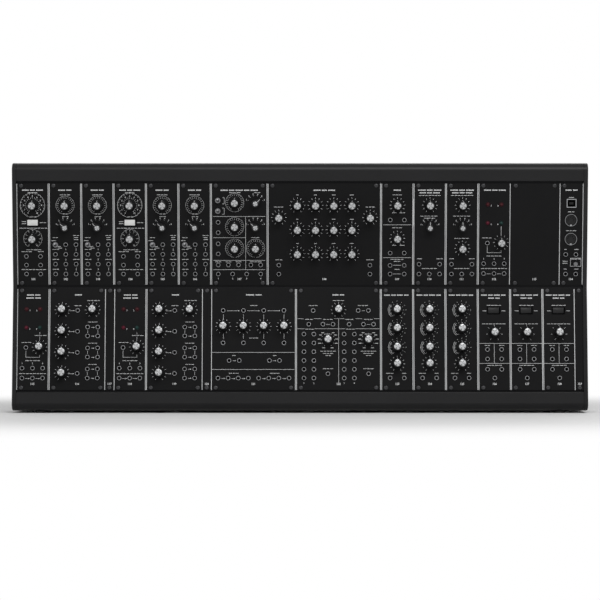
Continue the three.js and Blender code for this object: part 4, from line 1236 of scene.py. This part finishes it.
class SYNTH_OT_case(bpy.types.Operator):
    """Make the top and bottom profiles and the end plates of the case"""

    bl_idname = "synth.case"
    bl_label = "Case"

    def execute(self, context):
        for name, is_top in (("top_profile", True), ("bottom_profile", False)):
            self.profile(name, is_top)
        for name, side in (("left_cheek", 0), ("right_cheek", 1)):
            self.cheek(name, side)
        return {"FINISHED"}

    def setback(self, depth):
        """How far the front leans back at a depth below the case's top or above its bottom."""
        return (depth - sizes().lip_radius) * math.tan(sizes().row_tilt)

    def profile(self, name, is_top):
        s = sizes()
        low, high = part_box(name)
        inward = -1 if is_top else 1
        face = high[2] if is_top else low[2]
        depth, channel = high[1] - low[1], 9 * MM
        lip, wall, radius = s.lip_height, s.wall, s.lip_radius
        cover, inner_lip = depth - 11.3 * MM, lip - 0.5 * MM
        leaning, shelf = self.setback(lip), self.setback(lip + 2.2 * MM) + 7.8 * MM
        # Pairs of how far back from the front and how far in from the case's top or bottom
        section = [(depth, 0.25 * MM), (depth - 0.25 * MM, 0)]
        for i in range(25):
            turn = math.pi / 2 * i / 24
            section.append((radius - radius * math.sin(turn), radius - radius * math.cos(turn)))
        section += [
            (leaning - 0.1 * MM, lip - 1.0 * MM), (leaning + 0.1 * MM, lip - 0.6 * MM),
            (leaning + 0.5 * MM, inner_lip), (shelf, inner_lip), (shelf, lip - wall), (wall, lip - wall),
            (wall, radius + wall), (radius + wall, wall), (cover - wall, wall), (cover - wall, wall + channel),
            (cover, wall + channel), (cover, wall), (depth, wall),
        ]
        outline = [(low[1] + along, face + inward * inside) for along, inside in section]
        form = Form().prism(outline, low[0], high[0], "case").moved(ALONG_X)
        row, edge = ("top_row", s.panel_height) if is_top else ("bottom_row", 0.0)
        form.plus(rail_form(row, edge, inward, low[0], high[0]))
        piece(name + "_shell", smoothed(form.mesh(name), 5), "case", "case_paint", name)

    def cheek(self, name, side):
        s = sizes()
        low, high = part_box(name)
        front, back, bottom, top = low[1], high[1], low[2], high[2]
        radius, middle = s.lip_radius, (top + bottom) / 2
        outline = [(back, bottom), (back, top)]
        outline += arc((front + radius, top - radius), radius, 90, 180, 16)
        outline += [(front + self.setback(top - middle), middle)]
        outline += arc((front + radius, bottom + radius), radius, 180, 270, 16)
        mesh = Form().prism(outline, low[0], high[0], "case").moved(ALONG_X).mesh(name)
        outer, flush = (low, high)[side][0], 0.03 * MM
        shell = bmesh.new()
        shell.from_mesh(mesh)
        rim = [edge for edge in shell.edges if all(abs(v.co.x - outer) < flush for v in edge.verts)]
        bmesh.ops.bevel(shell, geom=rim, offset=s.cheek_edge, segments=5, profile=0.5, affect="EDGES")
        shell.to_mesh(mesh)
        shell.free()
        piece(name + "_plate", smoothed(mesh), "case", "case_paint", name)


class SYNTH_OT_back(bpy.types.Operator):
    """Finish the rear cover, boards, rails, power entry, stand and feet, and set the cover screws"""

    bl_idname = "synth.back"
    bl_label = "Back and inside"

    def execute(self, context):
        finishes = {
            "rear_cover": "case", "centre_rail": "rail", "bus_board": "board", "power_entry": "body",
            "stand_bail": "case", "left_foot": "rubber", "right_foot": "rubber",
        }
        for node, finish in finishes.items():
            dress(node, finish)
        self.screws()
        self.switch()
        self.inlet()
        return {"FINISHED"}

    def facing_back(self, x, y, z):
        """A frame on the back, with Z out of it."""
        return shift(x, y, z) @ spin(-math.pi / 2, "X")

    def screws(self):
        low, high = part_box("rear_cover")
        cover_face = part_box("stand_bail")[1][1] - 6.3 * MM
        side, end, apart = 12 * MM, 6 * MM, 75 * MM
        places = []
        for i in range(8):
            x = low[0] + side + (high[0] - low[0] - 2 * side) * i / 7
            places += [(x, low[2] + end), (x, high[2] - end)]
        for z in (low[2] + apart, (low[2] + high[2]) / 2, high[2] - apart):
            places += [(low[0] + side, z), (high[0] - side, z)]
        matrices = [self.facing_back(x, cover_face, z) for x, z in places]
        set_out("rear_cover_screws", screw_head(), matrices, "screw", "rail_metal")

    def switch(self):
        """The main switch, with a ring for off and a bar for on laid in its hollowed top."""
        low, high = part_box("power_switch")
        plate_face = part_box("power_entry")[1][1] - BEZEL_RISE
        half, spot = 0.09, 4.4 * MM
        ring = scaled([(0.95, -half), (1.25, -half), (1.25, half), (0.95, half)])
        off = Form().turned(ring, 20, "mark", closed=True)
        on = Form().block(0.17, 1.25, (-half, half), "mark")
        marks = Form()
        for mark, x in ((off, spot), (on, -spot)):
            height, slope = rocker_top(x)
            marks.plus(mark.moved(shift(x, 0, height) @ spin(-slope, "Y")))
        meshes = [rocker_paddle("dark_rocker"), marks.moved(rocker_lean()).mesh("marks")]
        mesh = fused("power_switch_paddle", meshes)
        mesh.transform(self.facing_back((low[0] + high[0]) / 2, plate_face, (low[2] + high[2]) / 2))
        piece("power_switch_paddle", mesh, "power_switch", "dark_rocker", "power_switch")

    def inlet(self):
        """The round rim and lining of the supply socket, and its pin."""
        low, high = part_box("power_entry")
        x, z = (low[0] + high[0]) / 2 - 14 * MM, (low[2] + high[2]) / 2
        tube = [
            (2.95, -8.6), (3.08, -8.6), (3.08, -0.1), (4.3, -0.1), (4.3, 0.25), (4.1, 0.4), (3.15, 0.4), (2.95, 0.2),
        ]
        pin = [(0, -8.8), (1.04, -8.8), (1.04, -1.7), (0.8, -1.42), (0, -1.42)]
        form = Form().turned(scaled(tube), 32, "insert", closed=True).turned(scaled(pin), 20, "nickel")
        form.moved(self.facing_back(x, high[1] - BEZEL_RISE, z))
        piece("power_inlet", form.mesh("power_inlet"), "case", "entry_plastic")


class SYNTH_OT_panels(bpy.types.Operator):
    """Make each module's panel with its holes, and the connector bodies and board behind it"""

    bl_idname = "synth.panels"
    bl_label = "Panels"

    def execute(self, context):
        for row in ROWS:
            for module in modules(row):
                self.panel(module)
        return {"FINISHED"}

    def panel(self, module):
        s = sizes()
        width, height = module.width, s.panel_height
        bore, floor, board_back = s.socket_bore + 0.1 * MM, -8 * MM, -s.board_depth - 1.6 * MM
        body_back = -s.board_depth + 0.2 * MM
        openings = {
            "toggle": polygon(2.2 * MM, 16),
            "lamp": polygon(2.1 * MM, 16),
            "rocker": rectangle(POCKET_LENGTH, POCKET_WIDTH),
            "usb": rectangle(11.6 * MM, 10.4 * MM),
            "din": polygon(6.9 * MM, 32),
            "button": polygon(2.95 * MM, 20),
        }
        holes = [moved_outline(polygon(bore, 12), *module.spot(*shares)) for shares in module.sockets()]
        for key, outline in openings.items():
            holes += [moved_outline(outline, *module.spot(*shares)) for shares in module.shares(key)]
        face = rectangle(width, height, (width / 2, height / 2))
        form = plate(face, holes, -s.panel_thickness, 0.0, "panel", 0.15 * MM)
        seat = 4 * MM
        for downs, acrosses in module.shares("socket"):
            left, top = module.spot(acrosses[0], downs[0])
            right, bottom = module.spot(acrosses[-1], downs[-1])
            middle = ((left + right) / 2, (top + bottom) / 2)
            outline = rectangle(right - left + 2 * seat, top - bottom + 2 * seat, middle)
            bores = [moved_outline(polygon(bore, 10), *module.spot(a, d)) for d in downs for a in acrosses]
            form.plus(plate(outline, bores, floor, -s.panel_thickness, "body"))
            form.box((left - seat, right + seat), (bottom - seat, top + seat), (body_back, floor), "body")
        for key, half in (("din", 7.5 * MM), ("button", 4 * MM)):
            for shares in module.shares(key):
                x, y = module.spot(*shares)
                form.box((x - half, x + half), (y - half, y + half), (body_back, -4.5 * MM), "body")
        if module.shares("socket"):
            side, end = 1.2 * MM, 11 * MM
            form.box((side, width - side), (end, height - end), (board_back, -s.board_depth), "board")
            header = Form().block(4.2, 10, (-8, 0), "body")
            form.plus(header.moved(shift(width / 2, height / 2, board_back)))
        piece(module.name + "_panel", form.moved(module.frame).mesh(module.name), "case", "panel_paint", module.name)


class SYNTH_OT_sockets(bpy.types.Operator):
    """Set a bush and a ring nut on every socket"""

    bl_idname = "synth.sockets"
    bl_label = "Sockets"

    def execute(self, context):
        s = sizes()
        inner = s.socket_rim - 0.44 * MM
        bush = (s.socket_bore, inner + 0.03 * MM, -0.5 * MM, 1.9 * MM, 16)
        nut = (inner, s.socket_rim, 0.0, 1.1 * MM, 16)
        for row in ROWS:
            places = [module.at(*shares) for module in modules(row) for shares in module.sockets()]
            meshes = [rings(places, "body", *bush), rings(places, "nickel", *nut)]
            name = row + "_socket_nuts"
            piece(name, fused(name, meshes), "case", "toggle_chrome")
        return {"FINISHED"}


def set_out_parts(prefix, meshes, places):
    """Pieces of the bodies, the pointer lines and the spun caps of fixed knobs or selectors."""
    looks = (("bodies", "knob", "knob_plastic"), ("lines", "mark", "panel_paint"), ("caps", "cap", "toggle_chrome"))
    for mesh, (key, finish, slot) in zip(meshes, looks):
        set_out(prefix + key, mesh, places, finish, slot)


class SYNTH_OT_knobs(bpy.types.Operator):
    """Set out the round knobs: bodies, pointer lines, spun caps and the bushes that they turn on"""

    bl_idname = "synth.knobs"
    bl_label = "Knobs"

    def execute(self, context):
        s = sizes()
        meshes = [knob_body().mesh("body"), knob_line().mesh("line"), cap_mesh(s.cap_radius, s.knob_height)]
        bush = Form().turned(scaled([(0, -0.5), (3.3, -0.5), (3.3, 5), (0, 5)]), 12, "nickel").mesh("bush")
        for row in ROWS:
            set_out_parts(row + "_knob_", meshes, fixed_places(row, "knob"))
            every = spots(row, "knob") + spots(row, "selector")
            set_out(row + "_knob_bushes", bush, every, "nickel", "toggle_chrome")
        for row in ROWS:
            dress_live(row, "knob", meshes, "knob_plastic")
        return {"FINISHED"}


class SYNTH_OT_selectors(bpy.types.Operator):
    """Set out the selectors with their beaks"""

    bl_idname = "synth.selectors"
    bl_label = "Selectors"

    def execute(self, context):
        s = sizes()
        body = selector_body().mesh("body", 0.2 * MM, 1)
        meshes = [body, selector_line().mesh("line"), cap_mesh(s.selector_cap, s.selector_height)]
        set_out_parts("selector_", meshes, fixed_places("top_row", "selector"))
        dress_live("top_row", "selector", meshes, "knob_plastic")
        return {"FINISHED"}


class SYNTH_OT_toggles(bpy.types.Operator):
    """Set out the bat toggles and their nuts"""

    bl_idname = "synth.toggles"
    bl_label = "Toggles"

    def execute(self, context):
        bat = toggle_bat().mesh("bat")
        set_out("toggle_seats", toggle_seat().mesh("seat"), spots("top_row", "toggle"), "chrome", "toggle_chrome")
        set_out("toggle_bats", bat, fixed_places("top_row", "toggle"), "chrome", "toggle_chrome")
        dress_live("top_row", "toggle", [bat], "toggle_chrome")
        return {"FINISHED"}


class SYNTH_OT_rockers(bpy.types.Operator):
    """Set out the white and dark rocker switches in their bezels"""

    bl_idname = "synth.rockers"
    bl_label = "Rockers"

    def execute(self, context):
        for row, finish in (("top_row", "white_rocker"), ("bottom_row", "dark_rocker")):
            paddle = rocker_paddle(finish)
            bezel = rocker_frame().mesh("bezel")
            set_out(finish + "_bezels", bezel, spots(row, "rocker"), "body", "dark_rocker")
            set_out(finish + "_paddles", paddle, fixed_places(row, "rocker"), finish, finish)
            dress_live(row, "rocker", [paddle], finish)
        return {"FINISHED"}


class SYNTH_OT_lamps(bpy.types.Operator):
    """Set out the red and green lamps"""

    bl_idname = "synth.lamps"
    bl_label = "Lamps"

    def execute(self, context):
        profile = [(0, -0.8), (2, -0.8), (2, 0.7), (1.85, 1.2), (1.5, 1.7), (0.9, 2.08), (0, 2.2)]
        dome = Form().turned(scaled(profile), 20, "red").mesh("dome")
        # Each module has two unlit red lamps, given a faint painted glow, over a red one and a green one
        lamps = [place for row in ROWS for place in spots(row, "lamp")]
        red, green = lamps[2::4], lamps[3::4]
        unlit = [place for i, place in enumerate(lamps) if i % 4 < 2]
        for key, places in (("dim_red", unlit), ("red", red), ("green", green)):
            set_out(key + "_lamps", dome, places, key, "entry_plastic")
        rim = (2.02 * MM, 3.1 * MM, 0.0, 0.5 * MM, 20)
        meshes = [rings(unlit + red, "red_rim", *rim), rings(green, "green_rim", *rim)]
        piece("lamp_rims", fused("lamp_rims", meshes), "case", "dark_rocker")
        return {"FINISHED"}


class SYNTH_OT_connectors(bpy.types.Operator):
    """Make the data sockets and the push button"""

    bl_idname = "synth.connectors"
    bl_label = "Data connectors"

    def execute(self, context):
        usb = spots("top_row", "usb")[0]
        self.connector("usb_socket", self.usb_form(), usb)
        for name, place in zip(("data_in_socket", "data_out_socket"), spots("top_row", "din")):
            self.connector(name, self.din_form(), place)
        profile = [(0, -1.4), (2.6, -1.4), (2.6, 2.1), (2.3, 2.4), (1.6, 2.35), (0, 2.2)]
        button = Form().turned(scaled(profile), 24, "button").mesh("button")
        dress_live("top_row", "button", [button], "dark_rocker")
        return {"FINISHED"}

    def connector(self, name, form, place):
        mesh = form.mesh(name)
        mesh.transform(place)
        piece(name, mesh, "case", "toggle_chrome")

    def usb_form(self):
        """A square shell round an insert with a bevelled opening and its tongue."""
        inner = rectangle(10.4 * MM, 9.2 * MM)
        form = plate(rectangle(12 * MM, 10.8 * MM), [inner], -9 * MM, 0.8 * MM, "nickel", 0.1 * MM)
        opening = scaled([(-4.3, -3.9), (4.3, -3.9), (4.3, 2.1), (2.7, 3.9), (-2.7, 3.9), (-4.3, 2.1)])
        form.plus(plate(inner, [opening], -9 * MM, 0.4 * MM, "body"))
        form.block(5, 4.4, (-10.2, -9), "body")
        return form.box((-2.6 * MM, 2.6 * MM), (-1.7 * MM, 1.3 * MM), (-9.3 * MM, -1.6 * MM), "insert")

    def din_form(self):
        """A round socket with five holes and a key."""
        ring = [(7.1, -1.2), (7.7, -1.2), (7.7, 0.7), (7.55, 0.9), (7.25, 0.9), (7.1, 0.7)]
        collar = [(6.9, -1.2), (7.13, -1.2), (7.13, 0.6), (6.9, 0.6)]
        holes = [moved_outline(polygon(0.75 * MM, 10), *spot) for spot in arc((0, 0), 3.75 * MM, 0, 180, 4)]
        form = Form().turned(scaled(ring), 40, "nickel", closed=True)
        form.turned(scaled(collar), 40, "body", closed=True)
        form.plus(plate(polygon(6.85 * MM, 40), holes, -3.2 * MM, -0.6 * MM, "insert"))
        form.block(4, 5, (-4.4, -3.2), "body")
        return form.box((-1.1 * MM, 1.1 * MM), (-6.9 * MM, -5.6 * MM), (-0.8 * MM, 0.5 * MM), "nickel")


class SYNTH_OT_screws(bpy.types.Operator):
    """Set the screws that hold the panels to the rails"""

    bl_idname = "synth.screws"
    bl_label = "Panel screws"

    def execute(self, context):
        side, end, wide = 6 * MM, 3 * MM, 50 * MM
        for row in ROWS:
            places = []
            for module in modules(row):
                rights = [module.width - side] if module.width > wide else []
                for x in [min(side, module.width / 2)] + rights:
                    places += [module.frame @ shift(x, y, 0) for y in (end, sizes().panel_height - end)]
            set_out(row + "_panel_screws", screw_head(), places, "screw", "rail_metal")
        return {"FINISHED"}


class SYNTH_OT_prints(bpy.types.Operator):
    """Print the bare edges, dials, numerals, rules and label bars on the panels"""

    bl_idname = "synth.prints"
    bl_label = "Panel prints"

    def execute(self, context):
        for row in ROWS:
            self.stripes(row)
            self.marks(row)
        return {"FINISHED"}

    def stripes(self, row):
        """The bare edges, which end a little short of the seam between the rows."""
        s = sizes()
        inset = s.stripe_width / 2 + 0.2 * MM
        middle = s.panel_height / 2 + (0.4 * MM if row == "top_row" else -0.4 * MM)
        places = []
        for module in modules(row):
            if module.kind != "blank":
                places += [module.frame @ shift(x, middle, 0) for x in (inset, module.width - inset)]
        extents = [(s.stripe_width, s.panel_height - 1.4 * MM, s.print_depth * 2)] * len(places)
        mesh = grown("bars", places, "stripe", {"Lift": 0.0}, {"extent": extents})
        piece(row + "_panel_edges", mesh, "case", "panel_paint")

    def marks(self, row):
        prints = Prints()
        for module in modules(row):
            prints.panel(module)
        name = row + "_panel_prints"
        piece(name, fused(name, prints.meshes()), "case", "panel_paint")


class Prints:
    """What is printed on a row: its bars, the digits of each size, the dials and the arrow heads."""

    def __init__(self):
        self.depth = sizes().print_depth
        self.bars, self.numbers, self.heads = [], {}, []
        self.dials = {key: [] for key in DIALS}

    def bar(self, place, width, height):
        self.bars.append((place, (width, height, self.depth * 2)))

    def line(self, module, across, down, share, size):
        """Short blocks as long as a line of words."""
        height, longest, gap, pitch = size
        for middle, span in words(share * module.width, longest, gap):
            count = max(1, round(span / pitch))
            for i in range(count):
                step = middle + (i + 0.5 - count / 2) * span / count
                fill = 0.68 if i % 3 else 0.84
                self.bar(module.at(across, down) @ shift(step, 0, 0), fill * span / count, height)

    def spell(self, place, number, size):
        """A number's digits, centred on a place."""
        text = str(number)
        for i, digit in enumerate(text):
            x = (i - (len(text) - 1) / 2) * size * 0.66
            self.numbers.setdefault(size, []).append((place @ shift(x, 0, 0), int(digit)))

    def panel(self, module):
        """All the marks of one panel, its dials as places."""
        for key, size in (("title", TITLE), ("label", LABEL)):
            for shares in module.shares(key):
                self.line(module, *shares, size)
        for key in ("run", "arrow"):
            for down, start, end in module.shares(key):
                self.bar(module.at((start + end) / 2, down), (end - start) * module.width, RULE)
                if key == "arrow":
                    self.heads.append(module.at(end, down))
        for across, start, end in module.shares("rise"):
            self.bar(module.at(across, (start + end) / 2), RULE, (end - start) * sizes().panel_height)
        for across, down, number in module.shares("numeral"):
            self.spell(module.at(across, down), number, NUMERAL)
        self.spell(module.at(0.5, 0.938), 100 + module.number, PANEL_NUMBER)
        for across, down, dial in module.shares("knob"):
            self.dials[dial].append(module.at(across, down))
        self.dials["steps"] += [module.at(*shares[:2]) for shares in module.shares("selector")]

    def dial(self, key, places):
        """The ticks and arcs of one kind of dial. Its numbers and words join the other marks."""
        dial = DIALS[key]
        for place in places:
            for radius, size, bearings, first in dial.get("numbers", []):
                for i, bearing in enumerate(bearings):
                    self.spell(place @ around(radius, bearing), first + i, size * MM)
            for radius, bearings in dial.get("words", []):
                for bearing in bearings:
                    self.bar(place @ around(radius, bearing), DIAL_WORD, LABEL[0])
        return [grown(tree, places, "mark", {**inputs, "Depth": self.depth}) for tree, inputs in dial["marks"]]

    def meshes(self):
        meshes = [mesh for key, places in self.dials.items() if places for mesh in self.dial(key, places)]
        places, extents = zip(*self.bars)
        meshes.append(grown("bars", places, "mark", {"Lift": 0.0}, {"extent": extents}))
        digits = digit_meshes(self.depth * 2)
        for size, rows in self.numbers.items():
            places, picks = zip(*rows)
            meshes.append(copies(digits, places, "mark", size, picks))
        if self.heads:
            head = Form().prism(scaled([(-1.1, -0.75), (0.5, 0.0), (-1.1, 0.75)]), -self.depth, self.depth, "mark")
            meshes.append(copies([head.mesh("head")], self.heads, "mark"))
        return meshes


def around(radius, bearing):
    """A step out from a dial's middle, at a bearing in degrees from its top."""
    turn = math.radians(bearing)
    return shift(radius * MM * math.sin(turn), radius * MM * math.cos(turn), 0)


def words(reach, longest, gap):
    """The middles and lengths of the bars that stand for the words in a line."""
    count = max(1, round(reach / longest))
    shares = [0.85 if i % 2 else 1.15 for i in range(count)]
    unit = (reach - gap * (count - 1)) / sum(shares)
    spans, start = [], -reach / 2
    for share in shares:
        spans.append((start + unit * share / 2, unit * share))
        start += unit * share + gap
    return spans


def digit_meshes(depth):
    """The ten digits, one unit high about their middle, as thin closed prints."""
    meshes = []
    for digit in range(10):
        text = bpy.data.curves.new("digit", "FONT")
        text.body = str(digit)
        text.align_x = "CENTER"
        text.align_y = "CENTER"
        text.size = 1.4
        text.offset = 0.03
        text.resolution_u = 1
        text.extrude = 0.5
        mesh = settled(placed("digit", text))
        bpy.data.curves.remove(text)
        heights = [v.co.y for v in mesh.vertices]
        mesh.transform(shift(0, -(min(heights) + max(heights)) / 2, 0))
        mesh.transform(Matrix.Diagonal((1, 1, depth / NUMERAL, 1)))
        meshes.append(mesh)
    return meshes


class SYNTH_OT_stage(bpy.types.Operator):
    """Set the floor, lamps, world and camera"""

    bl_idname = "synth.stage"
    bl_label = "Stage"

    def execute(self, context):
        self.floor()
        self.world()
        self.lamp("Key light", (0.4, -1.6, 1.42), (0.0, 0.0, 0.2), (1.6, 0.75), 23.0)
        self.lamp("Fill light", (-2.2, -2.0, 1.2), (0.0, 0.0, 0.15), (1.2, 1.6), 10.0)
        self.lamp("Back light", (0.3, 2.2, 2.0), (0.0, 0.0, 0.2), (2.0, 1.0), 16.0)
        self.camera()
        context.scene.view_settings.view_transform = "Standard"
        return {"FINISHED"}

    def floor(self):
        """A pale floor that fades to plain white away from the part."""
        form = bmesh.new()
        bmesh.ops.create_grid(form, x_segments=1, y_segments=1, size=12.0)
        mesh = bpy.data.meshes.new("floor")
        form.to_mesh(mesh)
        form.free()
        finish = Finish("Floor", roughness=0.9, specular_ior_level=0.1)
        finish.tone(finish.noise(3.0), colours().floor, 0.995, 1.005)
        x, y = finish.axis("X"), finish.axis("Y")
        far = finish.step(finish.math("SQRT", x * x + y * y * 2.0), 0.75, 0.3)
        glow = finish.node("ShaderNodeEmission", None, {"Color": (1.0, 1.0, 1.0, 1.0), "Strength": 1.0})
        values = {0: far * finish.seen(), 1: Value(finish, finish.shader.outputs[0]), 2: glow}
        whole = finish.node("ShaderNodeMixShader", None, values)
        out = finish.tree.nodes["Material Output"]
        finish.tree.links.new(whole.socket, out.inputs["Surface"])
        mesh.materials.append(finish.material)
        placed("floor", mesh)

    def world(self):
        """White where it is seen, and dimmer as a light."""
        world = bpy.data.worlds.new("Studio")
        bpy.context.scene.world = world
        world.use_nodes = True
        graph = Graph(world.node_tree)
        strength = 0.42 + graph.math("MINIMUM", graph.seen(), 1.0) * 0.58
        background = world.node_tree.nodes["Background"]
        background.inputs["Color"].default_value = (1.0, 1.0, 1.0, 1.0)
        world.node_tree.links.new(strength.socket, background.inputs["Strength"])

    def aimed(self, name, data, spot, target):
        item = placed(name, data)
        item.location = spot
        item.rotation_euler = (Vector(target) - Vector(spot)).to_track_quat("-Z", "Y").to_euler()
        return item

    def lamp(self, name, spot, target, size, power):
        data = bpy.data.lights.new(name, "AREA")
        data.shape = "RECTANGLE"
        data.size, data.size_y = size
        data.energy = power
        self.aimed(name, data, spot, target)

    def camera(self):
        """The camera of the photo, as the meeting point of the panel edges gives it."""
        data = bpy.data.cameras.new("Camera")
        data.sensor_width = 36.0
        data.lens = 157.0
        data.clip_end = 50.0
        camera = self.aimed("Camera", data, (0.0, -3.315, 0.13423), (0.0, -0.034, 0.14167))
        bpy.context.scene.camera = camera


OPERATORS = (
    SYNTH_OT_case,
    SYNTH_OT_back,
    SYNTH_OT_panels,
    SYNTH_OT_sockets,
    SYNTH_OT_knobs,
    SYNTH_OT_selectors,
    SYNTH_OT_toggles,
    SYNTH_OT_rockers,
    SYNTH_OT_lamps,
    SYNTH_OT_connectors,
    SYNTH_OT_screws,
    SYNTH_OT_prints,
    SYNTH_OT_stage,
)


class SYNTH_PT_panel(bpy.types.Panel):
    """Lists the pieces of the synthesizer"""

    bl_label = "Synthesizer"
    bl_idname = "SYNTH_PT_panel"
    bl_space_type = "VIEW_3D"
    bl_region_type = "UI"
    bl_category = "Synthesizer"

    def draw(self, context):
        for group in (context.scene.synth_sizes, context.scene.synth_colours):
            column = self.layout.column()
            for key in group.__annotations__:
                column.prop(group, key)
        for operator in OPERATORS:
            self.layout.operator(operator.bl_idname)


CLASSES = (SynthSizes, SynthColours, *OPERATORS, SYNTH_PT_panel)


def register():
    for item in CLASSES:
        bpy.utils.register_class(item)
    bpy.types.Scene.synth_sizes = PointerProperty(type=SynthSizes)
    bpy.types.Scene.synth_colours = PointerProperty(type=SynthColours)


def unregister():
    del bpy.types.Scene.synth_colours
    del bpy.types.Scene.synth_sizes
    for item in reversed(CLASSES):
        bpy.utils.unregister_class(item)


def main():
    register()
    for operator in OPERATORS:
        group, name = operator.bl_idname.split(".")
        getattr(getattr(bpy.ops, group), name)()


if __name__ == "__main__":
    main()
